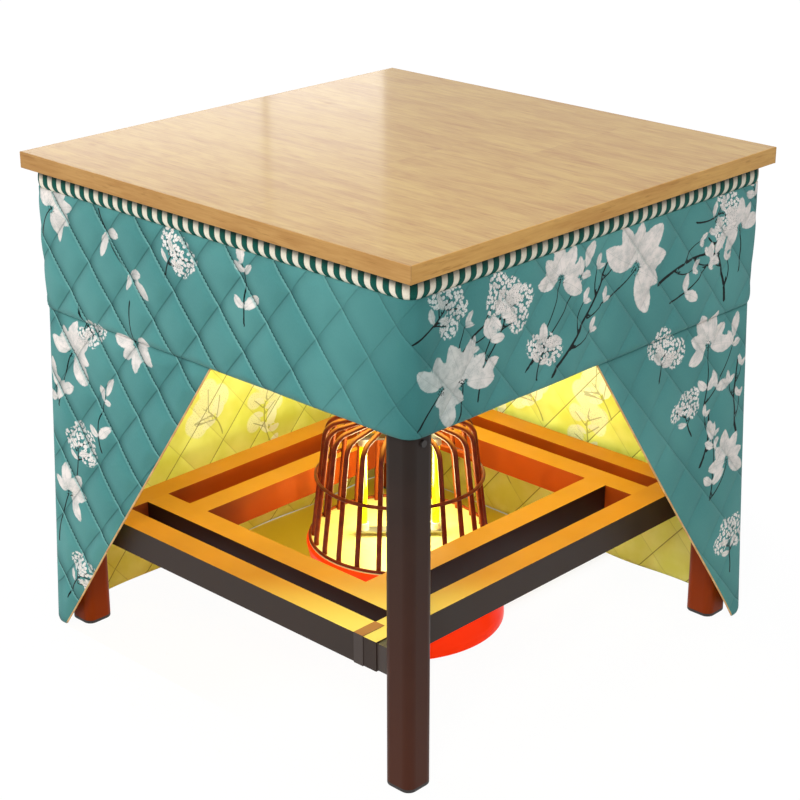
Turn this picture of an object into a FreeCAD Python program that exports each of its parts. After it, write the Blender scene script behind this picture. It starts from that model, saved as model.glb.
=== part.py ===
"""A kotatsu: a square heated table with a quilted cover, a slatted footrest and a loose cage heater.

Frame: +Z up, the origin on the floor under the table's centre, millimetres. The table's four sides face
-Y (front left), +X (front right), +Y (back right) and -X (back left); its front corner is at +X, -Y.
"""
import FreeCAD, Part
import math
import os
from types import SimpleNamespace

import Sketcher

SIZES = {
    # The table as a whole
    "table_height": 780,
    "top_side": 800,
    "top_thick": 25,
    "edge_band_thick": 2,
    "top_edge_round": 1,
    "soft_gap": 0.3,
    # Legs: rounded square tubes with a plastic cap and one bolt each
    "leg_inset": 19,
    "leg_width": 50,
    "leg_round": 14,
    "leg_wall": 2,
    "foot_rise": 6,
    "foot_round": 2.5,
    "foot_plug_depth": 18,
    "foot_plug_gap": 0.2,
    "leg_bolt_drop": 12,
    "leg_bolt_head_radius": 5,
    "leg_bolt_head_thick": 2.8,
    "leg_bolt_shank_radius": 3,
    "leg_bolt_shank_length": 16,
    # Aprons and corner plates under the top
    "apron_width": 22,
    "apron_depth": 40,
    "apron_wall": 1.5,
    "corner_plate_side": 80,
    "corner_plate_thick": 3,
    # Footrest: an outer and an inner ring of rectangular tubes
    "rest_top": 213,
    "rest_inset": 7,
    "rest_bar_width": 42,
    "rest_bar_depth": 46,
    "rest_bar_wall": 2,
    "rest_side_gap": 53,
    "rest_end_gap": 35,
    "connector_length": 19,
    "connector_inset": 2,
    "spigot_length": 42,
    "spigot_gap": 0.3,
    "strap_width": 18,
    "strap_thick": 0.8,
    "strap_from_end": 25,
    "rest_screw_from_end": 13,
    "rest_screw_radius": 2.5,
    "rest_screw_head_radius": 5,
    "rest_screw_head_thick": 2.4,
    "rest_screw_length": 14,
    # Cloth cover: top sheet, piping roll, valance and skirt
    "sheet_thick": 3.7,
    "cloth_thick": 4,
    "skirt_gap": 0.6,
    "valance_gap": 0.4,
    "valance_thick": 4,
    "valance_tuck": 2.6,
    "hem_round": 1.6,
    "hem_height": 537,
    "piping_height": 30,
    "piping_depth": 9.5,
    "panel_gap": 0.6,
    "skirt_floor_gap": 4,
    "skirt_flare": 12.4,
    "corner_split": 1.2,
    "opening_foot_margin": 23.6,
    "binding_width": 3,
    "binding_lap": 0.5,
    # Heater base
    "base_radius": 171,
    "base_waist_inset": 31,
    "base_shoulder_inset": 19,
    "base_rim_width": 25,
    "base_low": 5,
    "base_edge_height": 10,
    "base_waist_height": 90,
    "base_top": 141,
    "base_wall": 2.5,
    "base_edge_round": 30,
    "base_waist_round": 90,
    "base_shoulder_round": 5,
    "base_plate_thick": 2,
    "base_plate_gap": 0.3,
    "base_foot_radius": 9,
    "base_foot_inset": 30,
    "deck_inset": 5,
    "deck_thick": 1.5,
    # Heater cage
    "wire_radius": 4,
    "foot_ring_radius": 2.5,
    "middle_ring_radius": 3,
    "cage_foot_inset": 8.5,
    "cage_foot_rise": 10,
    "cage_lean": 22,
    "cage_shoulder_height": 335,
    "cage_crown": 44,
    "cage_top": 349,
    "cage_ring_height": 250,
    "cage_ring_gap": 0.1,
    "cage_foot_bend": 25,
    "cage_shoulder_bend": 28,
    "cage_crown_bend": 60,
    "hub_radius": 33,
    "hub_below": 6,
    "hub_above": 5,
    "hub_crown": 9,
    # Heating tubes and what carries them
    "post_radius": 7,
    "tube_circle": 58,
    "tube_radius": 6,
    "tube_cap_radius": 8.5,
    "tube_cap_length": 12,
    "tube_cap_floor": 2,
    "holder_low": 149,
    "holder_high": 312,
    "holder_thick": 3,
    "holder_arm_width": 20,
    "holder_reach": 68,
    # Rotary switch, knob and bezel on the back right
    "control_height": 112,
    "bezel_radius": 22,
    "bezel_proud": 3.5,
    "bush_radius": 5,
    "bush_gap": 0.1,
    "shaft_radius": 3,
    "shaft_gap": 0.05,
    "shaft_length": 20,
    "knob_radius": 17,
    "knob_nose_radius": 15.5,
    "knob_length": 12,
    "knob_round": 2,
    "knob_gap": 0.4,
    "knob_grip_width": 5,
    "knob_grip_rise": 5,
    "switch_side": 26,
    "switch_depth": 18,
    "switch_inset": 12,
    # Tip-over switch under the base
    "plunger_offset": 60,
    "plunger_radius": 5,
    "plunger_gap": 0.05,
    "plunger_length": 24,
    "plunger_collar_radius": 8,
    "plunger_collar_thick": 2,
    "plunger_travel": 3,
    "plunger_stop_gap": 0.2,
    "tip_box_length": 26,
    "tip_box_width": 22,
    "tip_box_height": 30,
    "tip_box_gap": 0.4,
    # Cord gland on the back right
    "gland_height": 104,
    "gland_inset": 5,
    "gland_flange_radius": 9,
    "gland_flange_thick": 3,
    "gland_sink": 4,
    "gland_root_radius": 6.5,
    "gland_tip_radius": 4.5,
    "gland_length": 22,
    "gland_bore_radius": 3,
    "gland_bore_depth": 10,
}
WIRE_COUNT = 24
TUBE_COUNT = 4
GLAND_TURN = 35

document = FreeCAD.newDocument("kotatsu")
sheet = document.addObject("Spreadsheet::Sheet", "sizes")
for row, (alias, value) in enumerate(SIZES.items(), start=1):
    sheet.set(f"A{row}", str(value))
    sheet.setAlias(f"A{row}", alias)
document.recompute()


class Size:
    """A length on the sheet, or a sum or share of such lengths, kept as the text of an expression."""

    def __init__(self, text):
        self.text = text

    def __add__(self, other):
        return Size(f"({self.text} + {text_of(other)})")

    def __radd__(self, other):
        return Size(f"({text_of(other)} + {self.text})")

    def __sub__(self, other):
        return Size(f"({self.text} - {text_of(other)})")

    def __rsub__(self, other):
        return Size(f"({text_of(other)} - {self.text})")

    def __mul__(self, other):
        return Size(f"({self.text} * {text_of(other)})")

    def __rmul__(self, other):
        return Size(f"({text_of(other)} * {self.text})")

    def __truediv__(self, other):
        return Size(f"({self.text} / {text_of(other)})")

    def __neg__(self):
        return Size(f"(0 - {self.text})")


def text_of(value):
    return value.text if isinstance(value, Size) else str(value)


def number(value):
    """The value that a Size has now."""
    return float(sheet.evalExpression(value.text)) if isinstance(value, Size) else float(value)


s = SimpleNamespace(**{alias: Size(f"sizes.{alias}") for alias in SIZES})

# Heights and half widths that several pieces share
leg_half = s.leg_width / 2
leg_outer = s.top_side / 2 - s.leg_inset
leg_centre = leg_outer - leg_half
leg_inner = leg_outer - s.leg_width
top_bottom = s.table_height - s.top_thick
sheet_top = top_bottom - s.soft_gap
frame_top = sheet_top - s.sheet_thick
skirt_inner = leg_outer + s.skirt_gap
skirt_inner_round = s.leg_round + s.skirt_gap
skirt_outer = skirt_inner + s.cloth_thick
skirt_outer_round = skirt_inner_round + s.cloth_thick
valance_inner = skirt_outer + s.valance_gap
valance_inner_round = skirt_outer_round + s.valance_gap
piping_bottom = sheet_top - s.piping_height
panel_top = s.hem_height - s.panel_gap
opening_foot = skirt_outer - s.opening_foot_margin
base_edge_top = s.base_low + s.base_edge_height
base_waist = s.base_radius - s.base_waist_inset
base_shoulder_radius = s.base_radius - s.base_shoulder_inset
base_rim_radius = base_shoulder_radius - s.base_rim_width
deck_radius = base_shoulder_radius - s.deck_inset
deck_top = s.base_top + s.deck_thick
plate_top = s.base_low + s.base_plate_thick
cage_foot = deck_radius - s.cage_foot_inset
cage_foot_top = deck_top + s.cage_foot_rise
cage_shoulder = cage_foot - s.cage_lean
parts = []


def named(item, label):
    """Gives a finished piece its label and puts it on the list of pieces to write."""
    item.Label = label
    parts.append(item)
    return item


def place(item, x=0, y=0, z=0, rotation=None):
    """Stands a piece at a point that follows the sheet."""
    item.Placement = FreeCAD.Placement(
        FreeCAD.Vector(number(x), number(y), number(z)), rotation or FreeCAD.Rotation())
    for axis, value in (("x", x), ("y", y), ("z", z)):
        if isinstance(value, Size):
            item.setExpression(f"Placement.Base.{axis}", value.text)
    return item


def turned(degrees):
    return FreeCAD.Rotation(FreeCAD.Vector(0, 0, 1), degrees)


def bind(item, name, value):
    """Sets a property of a feature and ties it to the sheet."""
    setattr(item, name, number(value))
    if isinstance(value, Size):
        item.setExpression(name, value.text)


def new_body(name):
    body = document.addObject("PartDesign::Body", name)
    body.AllowCompound = True
    return body


def new_sketch(body, role, lift=None):
    """A sketch on one of the body's own planes, lifted along the plane's normal."""
    sketch = body.newObject("Sketcher::SketchObject", f"{body.Name}_sketch")
    plane = next(item for item in body.Origin.OriginFeatures if item.Role == role)
    sketch.AttachmentSupport = [(plane, "")]
    sketch.MapMode = "FlatFace"
    if lift is not None:
        sketch.AttachmentOffset = FreeCAD.Placement(
            FreeCAD.Vector(0, 0, number(lift)), FreeCAD.Rotation())
        if isinstance(lift, Size):
            sketch.setExpression("AttachmentOffset.Base.z", lift.text)
    return sketch


def constrain(sketch, kind, *terms):
    """Adds a constraint whose last term, where it is a Size, follows the sheet."""
    value = terms[-1]
    if not isinstance(value, Size):
        return sketch.addConstraint(Sketcher.Constraint(kind, *terms))
    index = sketch.addConstraint(Sketcher.Constraint(kind, *terms[:-1], number(value)))
    sketch.setExpression(f"Constraints[{index}]", value.text)
    return index


def fix_point(sketch, geometry, end, corner):
    constrain(sketch, "DistanceX", geometry, end, as_size(corner[0]))
    constrain(sketch, "DistanceY", geometry, end, as_size(corner[1]))


def as_size(value):
    return value if isinstance(value, Size) else Size(str(value))


def draw(sketch, corners, closed=True):
    """Draws straight runs through the corners (across, up) or, with a third term, round them by it."""
    points = [FreeCAD.Vector(number(corner[0]), number(corner[1]), 0) for corner in corners]
    count = len(corners)
    rounded = [len(corner) > 2 for corner in corners]
    arrive = list(points)
    leave = list(points)
    arcs = {}
    for i in range(count):
        if not rounded[i]:
            continue
        back = (points[i - 1] - points[i]).normalize()
        ahead = (points[(i + 1) % count] - points[i]).normalize()
        radius = number(corners[i][2])
        half_angle = back.getAngle(ahead) / 2
        arrive[i] = points[i] + back * (radius / math.tan(half_angle))
        leave[i] = points[i] + ahead * (radius / math.tan(half_angle))
        centre = points[i] + (back + ahead).normalize() * (radius / math.sin(half_angle))
        turns_left = (back.x * ahead.y - back.y * ahead.x) < 0
        first, last = (arrive[i], leave[i]) if turns_left else (leave[i], arrive[i])
        circle = Part.Circle(centre, FreeCAD.Vector(0, 0, 1), radius)
        start = math.atan2(first.y - centre.y, first.x - centre.x)
        end = math.atan2(last.y - centre.y, last.x - centre.x)
        arcs[i] = (Part.ArcOfCircle(circle, start, end), turns_left)
    runs = count if closed else count - 1
    lines = [sketch.addGeometry(Part.LineSegment(leave[i], arrive[(i + 1) % count]), False)
             for i in range(runs)]
    for i in range(count):
        into = lines[i - 1] if closed or i > 0 else None
        out_of = lines[i] if i < runs else None
        if rounded[i]:
            curve, turns_left = arcs[i]
            arc = sketch.addGeometry(curve, False)
            corner_point = sketch.addGeometry(Part.Point(points[i]), True)
            fix_point(sketch, corner_point, 1, corners[i])
            sketch.addConstraint(Sketcher.Constraint("Tangent", into, 2, arc, 1 if turns_left else 2))
            sketch.addConstraint(Sketcher.Constraint("Tangent", out_of, 1, arc, 2 if turns_left else 1))
            sketch.addConstraint(Sketcher.Constraint("PointOnObject", corner_point, 1, into))
            sketch.addConstraint(Sketcher.Constraint("PointOnObject", corner_point, 1, out_of))
            constrain(sketch, "Radius", arc, as_size(corners[i][2]))
            continue
        if into is not None and out_of is not None:
            sketch.addConstraint(Sketcher.Constraint("Coincident", into, 2, out_of, 1))
        if out_of is not None:
            fix_point(sketch, out_of, 1, corners[i])
        else:
            fix_point(sketch, into, 2, corners[i])


def draw_circle(sketch, across, up, radius):
    centre = FreeCAD.Vector(number(across), number(up), 0)
    circle = sketch.addGeometry(
        Part.Circle(centre, FreeCAD.Vector(0, 0, 1), number(radius)), False)
    fix_point(sketch, circle, 3, (across, up))
    constrain(sketch, "Radius", circle, as_size(radius))


def draw_rectangle(sketch, left, low, right, high):
    draw(sketch, [(left, low), (right, low), (right, high), (left, high)])


def draw_rounded_square(sketch, half, radius, across=0, up=0):
    draw(sketch, [(across - half, up - half, radius), (across + half, up - half, radius),
                  (across + half, up + half, radius), (across - half, up + half, radius)])


def pad(body, sketch, length, both_ways=False, backwards=False):
    feature = body.newObject("PartDesign::Pad", f"{body.Name}_pad")
    feature.Profile = sketch
    bind(feature, "Length", length)
    feature.SideType = "Symmetric" if both_ways else "One side"
    feature.Reversed = backwards
    document.recompute()
    return feature


def pocket(body, sketch, length=None, both_ways=False, backwards=False):
    """Cuts the sketch out of the body, and makes sure that something was cut."""
    before = body.Shape.Volume
    feature = body.newObject("PartDesign::Pocket", f"{body.Name}_pocket")
    feature.Profile = sketch
    feature.SideType = "Symmetric" if both_ways else "One side"
    feature.Reversed = backwards
    if length is None:
        feature.Type = "ThroughAll"
    else:
        bind(feature, "Length", length)
    document.recompute()
    if body.Shape.Volume >= before:
        raise RuntimeError(f"{feature.Name} cuts nothing")
    return feature


def revolve(body, sketch):
    feature = body.newObject("PartDesign::Revolution", f"{body.Name}_turning")
    feature.Profile = sketch
    feature.ReferenceAxis = (sketch, ["V_Axis"])
    feature.Angle = 360
    document.recompute()
    return feature


def turned_body(name, corners):
    """A body turned about its own Z axis from an outline of (radius, height) corners."""
    body = new_body(name)
    sketch = new_sketch(body, "XZ_Plane")
    draw(sketch, corners)
    revolve(body, sketch)
    return body


def round_edges(body, radius, wanted):
    """Rounds the edges of the body's tip that the test picks."""
    feature_before = body.Tip
    names = [f"Edge{i}" for i, edge in enumerate(feature_before.Shape.Edges, start=1) if wanted(edge)]
    feature = body.newObject("PartDesign::Fillet", f"{body.Name}_round")
    feature.Base = (feature_before, names)
    bind(feature, "Radius", radius)
    document.recompute()
    return feature


def around(body, features, count):
    """Repeats features evenly about the body's Z axis."""
    pattern = body.newObject("PartDesign::PolarPattern", f"{body.Name}_pattern")
    pattern.Originals = features
    axis = next(item for item in body.Origin.OriginFeatures if item.Role == "Z_Axis")
    pattern.Axis = (axis, [""])
    pattern.Angle = 360
    pattern.Occurrences = count
    body.Tip = pattern
    document.recompute()
    return pattern


def cylinder(name, radius, height, x=0, y=0, z=0, rotation=None):
    item = document.addObject("Part::Cylinder", name)
    bind(item, "Radius", radius)
    bind(item, "Height", height)
    return place(item, x, y, z, rotation)


def block(name, length, width, height, x, y, z):
    """A box centred on x and y that stands on z."""
    item = document.addObject("Part::Box", name)
    bind(item, "Length", length)
    bind(item, "Width", width)
    bind(item, "Height", height)
    return place(item, x - length / 2, y - width / 2, z)


def cut(name, base, tool):
    item = document.addObject("Part::Cut", name)
    item.Base = base
    item.Tool = tool
    return item


def fuse(name, *members):
    item = document.addObject("Part::MultiFuse", name)
    item.Shapes = list(members)
    return item


def group(name, members):
    item = document.addObject("Part::Compound", name)
    item.Links = list(members)
    return item


def bar(name, length, width, depth, wall, holes=None):
    """A rectangular tube along its own X axis, centred on its axis."""
    body = new_body(name)
    section = new_sketch(body, "YZ_Plane")
    draw_rectangle(section, -width / 2, -depth / 2, width / 2, depth / 2)
    draw_rectangle(section, wall - width / 2, wall - depth / 2, width / 2 - wall, depth / 2 - wall)
    pad(body, section, length, both_ways=True)
    if holes is not None:
        from_end, radius = holes
        for end in (-1, 1):
            drilling = new_sketch(body, "XY_Plane", -depth / 2)
            draw_circle(drilling, end * (length / 2 - from_end), 0, radius)
            pocket(body, drilling, wall, backwards=True)
    return body


# Each corner's leg and each side's apron or panel is one design, turned about the table's centre
CORNERS = ("front", "right", "back", "left")
SIDES = ("front_left", "front_right", "back_right", "back_left")


def quarter_turns(name, ring):
    """The angle from the first of the ring round to the named one."""
    return 360 * ring.index(name) / len(ring)


def corner_ways(corner):
    """The signs of the corner's x and y."""
    return (1 if corner in ("front", "right") else -1, 1 if corner in ("right", "back") else -1)


def side_ways(side):
    """The side's outward direction, as x and y of one or zero."""
    angle = math.radians(quarter_turns(side, SIDES))
    return round(math.sin(angle)), -round(math.cos(angle))


def make_leg(corner, bolted=False):
    toward_x, toward_y = corner_ways(corner)
    body = new_body(f"leg_{corner}")
    section = new_sketch(body, "XY_Plane")
    draw_rounded_square(section, leg_half, s.leg_round)
    draw_rounded_square(section, leg_half - s.leg_wall, s.leg_round - s.leg_wall)
    pad(body, section, frame_top - s.foot_rise)
    if bolted:
        bolt_hole = new_sketch(body, "YZ_Plane")
        draw_circle(bolt_hole, 0, s.hem_height - s.leg_bolt_drop - s.foot_rise, s.leg_bolt_shank_radius)
        pocket(body, bolt_hole, leg_half, backwards=True)
    place(body, toward_x * leg_centre, toward_y * leg_centre, s.foot_rise,
          turned(quarter_turns(corner, CORNERS)))
    return named(body, f"leg_{corner}")


def make_foot(corner):
    """A plastic cap under the tube, with a plug that fills its mouth."""
    toward_x, toward_y = corner_ways(corner)
    body = new_body(f"foot_{corner}")
    sole = new_sketch(body, "XY_Plane")
    draw_rounded_square(sole, leg_half, s.leg_round)
    pad(body, sole, s.foot_rise)
    round_edges(body, s.foot_round, lambda edge: edge.BoundBox.ZMax < number(s.foot_rise) / 2)
    plug = new_sketch(body, "XY_Plane", s.foot_rise)
    inside = s.leg_wall + s.foot_plug_gap
    draw_rounded_square(plug, leg_half - inside, s.leg_round - inside)
    pad(body, plug, s.foot_plug_depth)
    return place(body, toward_x * leg_centre, toward_y * leg_centre)


def make_leg_bolt():
    """A pan head on the front leg's outer face, where no cloth passes, its shank through the wall."""
    body = new_body("leg_bolt")
    for radius, length, inward in ((s.leg_bolt_head_radius, s.leg_bolt_head_thick, False),
                                   (s.leg_bolt_shank_radius, s.leg_bolt_shank_length, True)):
        section = new_sketch(body, "YZ_Plane", leg_outer)
        draw_circle(section, -leg_centre, s.hem_height - s.leg_bolt_drop, radius)
        pad(body, section, length, backwards=inward)
    return named(body, "leg_bolt")


def make_apron(side):
    toward_x, toward_y = side_ways(side)
    body = bar(f"apron_{side}", 2 * leg_inner, s.apron_width, s.apron_depth, s.apron_wall)
    place(body, toward_x * leg_centre, toward_y * leg_centre, frame_top - s.apron_depth / 2,
          turned(quarter_turns(side, SIDES)))
    return named(body, f"apron_{side}")


def make_corner_plates():
    """A welded gusset in each corner, level with the aprons' top and notched round the leg."""
    body = new_body("corner_plates")
    outline = new_sketch(body, "XY_Plane", frame_top)
    apron_face = leg_centre - s.apron_width / 2
    far = apron_face - s.corner_plate_side
    draw(outline, [(leg_inner, -apron_face), (leg_inner, -leg_inner), (apron_face, -leg_inner),
                   (apron_face, -far), (far, -apron_face)])
    plate = pad(body, outline, s.corner_plate_thick, backwards=True)
    around(body, [plate], len(CORNERS))
    return named(body, "corner_plates")


# Footrest lines: the outer and inner rings' bar centres
rest_half_length = leg_inner - s.connector_length
rest_half_width = leg_outer - s.rest_inset
rest_mid_height = s.rest_top - s.rest_bar_depth / 2
outer_long_y = rest_half_width - s.rest_bar_width / 2
outer_short_x = rest_half_length - s.rest_bar_width / 2
inner_long_y = outer_long_y - s.rest_bar_width - s.rest_end_gap
inner_short_x = outer_short_x - s.rest_bar_width - s.rest_side_gap


def make_rest_bar(label, length, x, y, degrees=0, holes=None):
    body = bar(label, length, s.rest_bar_width, s.rest_bar_depth, s.rest_bar_wall, holes)
    place(body, x, y, rest_mid_height, turned(degrees))
    return named(body, label)


def make_footrest():
    """The long outer bars run from leg to leg; every other bar butts between the ones outside it."""
    for side, way in (("front_left", -1), ("back_right", 1)):
        make_rest_bar(f"rest_outer_{side}", 2 * rest_half_length, 0, way * outer_long_y,
                      holes=(s.rest_screw_from_end, s.rest_screw_radius))
        make_rest_bar(f"rest_inner_{side}", 2 * outer_short_x - s.rest_bar_width,
                      0, way * inner_long_y)
    for side, way in (("front_right", 1), ("back_left", -1)):
        make_rest_bar(f"rest_outer_{side}", 2 * outer_long_y - s.rest_bar_width,
                      way * outer_short_x, 0, 90)
        make_rest_bar(f"rest_inner_{side}", 2 * inner_long_y - s.rest_bar_width,
                      way * inner_short_x, 0, 90)


def make_connector(way_x, way_y):
    """A moulded block, coped round the leg, with a spigot that fills the bar's end."""
    body = new_body("connector")
    spigot = new_sketch(body, "YZ_Plane", way_x * (rest_half_length - s.spigot_length))
    half_width = s.rest_bar_width / 2 - s.rest_bar_wall - s.spigot_gap
    half_depth = s.rest_bar_depth / 2 - s.rest_bar_wall - s.spigot_gap
    draw_rectangle(spigot, way_y * outer_long_y - half_width, rest_mid_height - half_depth,
                   way_y * outer_long_y + half_width, rest_mid_height + half_depth)
    pad(body, spigot, s.spigot_length, backwards=way_x < 0)
    screw_hole = new_sketch(body, "XY_Plane", rest_mid_height - half_depth)
    draw_circle(screw_hole, way_x * (rest_half_length - s.rest_screw_from_end), way_y * outer_long_y,
                s.rest_screw_radius)
    pocket(body, screw_hole, s.rest_screw_length - s.rest_bar_wall - s.spigot_gap, backwards=True)
    shoulder = new_sketch(body, "YZ_Plane", way_x * rest_half_length)
    half_width = s.rest_bar_width / 2 - s.connector_inset
    half_depth = s.rest_bar_depth / 2 - s.connector_inset
    draw_rectangle(shoulder, way_y * outer_long_y - half_width, rest_mid_height - half_depth,
                   way_y * outer_long_y + half_width, rest_mid_height + half_depth)
    pad(body, shoulder, leg_centre - rest_half_length, backwards=way_x < 0)
    coping = new_sketch(body, "XY_Plane")
    draw_rounded_square(coping, leg_half, s.leg_round, way_x * leg_centre, way_y * leg_centre)
    pocket(body, coping, s.rest_top, backwards=True)
    return body


def make_connector_screw(way_x, way_y):
    x = way_x * (rest_half_length - s.rest_screw_from_end)
    y = way_y * outer_long_y
    under = s.rest_top - s.rest_bar_depth
    head = cylinder("screw_head", s.rest_screw_head_radius, s.rest_screw_head_thick, x, y,
                    under - s.rest_screw_head_thick)
    shank = cylinder("screw_shank", s.rest_screw_radius, s.rest_screw_length, x, y, under)
    return fuse("connector_screw", head, shank)


def make_strap(way_x, way_y):
    """A thin steel strap over the top, outer face and underside of a long bar near its end."""
    body = new_body("strap")
    middle = rest_half_length - s.strap_from_end - s.strap_width / 2
    section = new_sketch(body, "YZ_Plane", way_x * middle)
    face = rest_half_width
    inside = rest_half_width - s.rest_bar_width
    low = s.rest_top - s.rest_bar_depth
    thick = s.strap_thick
    draw(section, [(way_y * inside, s.rest_top), (way_y * face, s.rest_top), (way_y * face, low),
                   (way_y * inside, low), (way_y * inside, low - thick),
                   (way_y * (face + thick), low - thick), (way_y * (face + thick), s.rest_top + thick),
                   (way_y * inside, s.rest_top + thick)])
    pad(body, section, s.strap_width, both_ways=True)
    return body


def make_rest_fittings():
    ends = [(1, -1), (1, 1), (-1, 1), (-1, -1)]
    named(group("rest_connectors", [make_connector(*end) for end in ends]), "rest_connectors")
    named(group("rest_screws", [make_connector_screw(*end) for end in ends]), "rest_screws")
    named(group("rest_straps", [make_strap(*end) for end in ends]), "rest_straps")


def make_tabletop():
    """A board with an edge band on each side; the two long bands cover the short ones' ends."""
    board_side = s.top_side - 2 * s.edge_band_thick
    board = block("tabletop_board", board_side, board_side, s.top_thick, as_size(0), as_size(0),
                  top_bottom)
    named(board, "tabletop_board")
    for side in SIDES:
        body = new_body(f"edge_band_{side}")
        section = new_sketch(body, "YZ_Plane")
        draw_rectangle(section, -s.top_side / 2, top_bottom,
                       s.edge_band_thick - s.top_side / 2, s.table_height)
        length = s.top_side if side_ways(side)[0] == 0 else board_side
        pad(body, section, length, both_ways=True)
        middle = number(s.edge_band_thick / 2 - s.top_side / 2)
        round_edges(body, s.top_edge_round, lambda edge: edge.BoundBox.YMax < middle
                    and edge.BoundBox.XLength > number(s.edge_band_thick))
        body.Placement = FreeCAD.Placement(FreeCAD.Vector(), turned(quarter_turns(side, SIDES)))
        named(body, f"edge_band_{side}")


def make_top_sheet():
    """The cover's top layer, flat between the frame and the tabletop."""
    body = new_body("cover_top_sheet")
    outline = new_sketch(body, "XY_Plane", frame_top)
    draw_rounded_square(outline, skirt_inner, skirt_inner_round)
    pad(body, outline, s.sheet_thick)
    return named(body, "cover_top_sheet")


def make_piping():
    """A padded half-round roll that runs round the cover's upper edge under the tabletop."""
    body = new_body("cover_piping")
    route = new_sketch(body, "XY_Plane", piping_bottom + s.piping_height / 2)
    draw_rounded_square(route, skirt_inner, skirt_inner_round)
    section = new_sketch(body, "XZ_Plane")
    low = piping_bottom
    high = sheet_top
    back = section.addGeometry(Part.LineSegment(
        FreeCAD.Vector(number(skirt_inner), number(high), 0),
        FreeCAD.Vector(number(skirt_inner), number(low), 0)), False)
    bow_radius = (s.piping_height * s.piping_height / 4 + s.piping_depth * s.piping_depth) \
        / (2 * s.piping_depth)
    centre = FreeCAD.Vector(number(skirt_inner + s.piping_depth - bow_radius),
                            number(low + s.piping_height / 2), 0)
    reach = math.asin(number(s.piping_height) / 2 / number(bow_radius))
    circle = Part.Circle(centre, FreeCAD.Vector(0, 0, 1), number(bow_radius))
    front = section.addGeometry(Part.ArcOfCircle(circle, -reach, reach), False)
    section.addConstraint(Sketcher.Constraint("Coincident", front, 2, back, 1))
    section.addConstraint(Sketcher.Constraint("Coincident", front, 1, back, 2))
    fix_point(section, back, 1, (skirt_inner, high))
    fix_point(section, back, 2, (skirt_inner, low))
    constrain(section, "Radius", front, bow_radius)
    pipe = body.newObject("PartDesign::AdditivePipe", "cover_piping_roll")
    pipe.Profile = section
    pipe.Spine = (route, [])
    document.recompute()
    return named(body, "cover_piping")


def make_ring_of_cloth(label, inner, inner_round, thick, low, high, hem=None):
    """An upright band of cloth all round the table."""
    body = new_body(label)
    section = new_sketch(body, "XY_Plane", low)
    draw_rounded_square(section, inner + thick, inner_round + thick)
    draw_rounded_square(section, inner, inner_round)
    pad(body, section, high - low)
    if hem is not None:
        mid_wall = number(inner + thick / 2)
        level = number(low + thick / 2)
        round_edges(body, hem, lambda edge: edge.BoundBox.ZMax < level and max(
            edge.BoundBox.XMax, -edge.BoundBox.XMin, edge.BoundBox.YMax, -edge.BoundBox.YMin)
            > mid_wall)
    return named(body, label)


def draw_panel_section(sketch, half, radius, thick):
    """A side's cloth from above: a straight run with a rounded return at both corners."""
    back = half - 2 * radius
    inner = half - thick
    draw(sketch, [(-half, -back), (-half, -half, radius), (half, -half, radius), (half, -back),
                  (inner, -back), (inner, -inner, radius - thick), (-inner, -inner, radius - thick),
                  (-inner, -back)])


def keep_one_side(body):
    """Mitres a panel at both corners, with half the split on each side of the mitre."""
    reach = s.top_side
    split = s.corner_split / 2
    for way in (-1, 1):
        beyond = new_sketch(body, "XY_Plane")
        draw(beyond, [(-way * split, 0), (way * (reach - split), -reach), (2 * way * reach, -reach),
                      (2 * way * reach, 0)])
        pocket(body, beyond, s.table_height, backwards=True)


def cut_diagonal(body, way, inset, keep_outside=False):
    """Cuts along the drawn-back edge, from the middle of the hem to the far corner's foot.

    The edge leans to the side that way gives, and inset moves it into the cloth.
    """
    reach = s.top_side
    side = new_sketch(body, "XZ_Plane")
    top_x = -way * inset
    foot_x = -way * (opening_foot + inset)
    far = -way * reach if keep_outside else way * reach
    draw(side, [(top_x, s.hem_height), (far, s.hem_height), (far, 0), (foot_x, 0)])
    pocket(body, side, 2 * reach, both_ways=True)


def loft_panel(label, side, proud=None):
    """A skirt panel for one side, from under the hem to just above the floor, leaning outward."""
    body = new_body(label)
    extra = proud or as_size(0)
    thick = s.cloth_thick + extra
    upper = new_sketch(body, "XY_Plane", panel_top)
    draw_panel_section(upper, skirt_outer + extra, skirt_outer_round + extra, thick)
    lower = new_sketch(body, "XY_Plane", s.skirt_floor_gap)
    draw_panel_section(lower, skirt_outer + s.skirt_flare + extra,
                       skirt_outer_round + s.skirt_flare + extra, thick)
    loft = body.newObject("PartDesign::AdditiveLoft", f"{label}_cloth")
    loft.Profile = upper
    loft.Sections = [lower]
    loft.Ruled = True
    document.recompute()
    keep_one_side(body)
    body.Placement = FreeCAD.Placement(FreeCAD.Vector(), turned(quarter_turns(side, SIDES)))
    return body


def make_skirt():
    """Four panels; the two beside the front corner are drawn back and bound along the diagonal."""
    drawn_back = {"front_left": 1, "front_right": -1}
    for side in SIDES:
        panel = loft_panel(f"skirt_{side}", side)
        way = drawn_back.get(side)
        if way is not None:
            cut_diagonal(panel, way, s.binding_width)
            binding = loft_panel(f"binding_{side}", side, s.binding_lap)
            cut_diagonal(binding, way, as_size(0))
            cut_diagonal(binding, way, s.binding_width, keep_outside=True)
            named(binding, f"binding_{side}")
        named(panel, f"skirt_{side}")


def base_corners(inset):
    """The heater base's side, from its flared foot over a waist to its rim, set in by an inset."""
    return [(s.base_radius - inset, s.base_low),
            (s.base_radius - inset, base_edge_top, s.base_edge_round - inset),
            (base_waist - inset, s.base_waist_height, s.base_waist_round + inset),
            (base_shoulder_radius - inset, s.base_top - inset, s.base_shoulder_round - inset)]


def make_base_form():
    """The base's outside as one solid, to seat the bezel and gland on its curve."""
    return turned_body("base_form",
                       base_corners(as_size(0)) + [(0, s.base_top), (0, s.base_low)])


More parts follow.
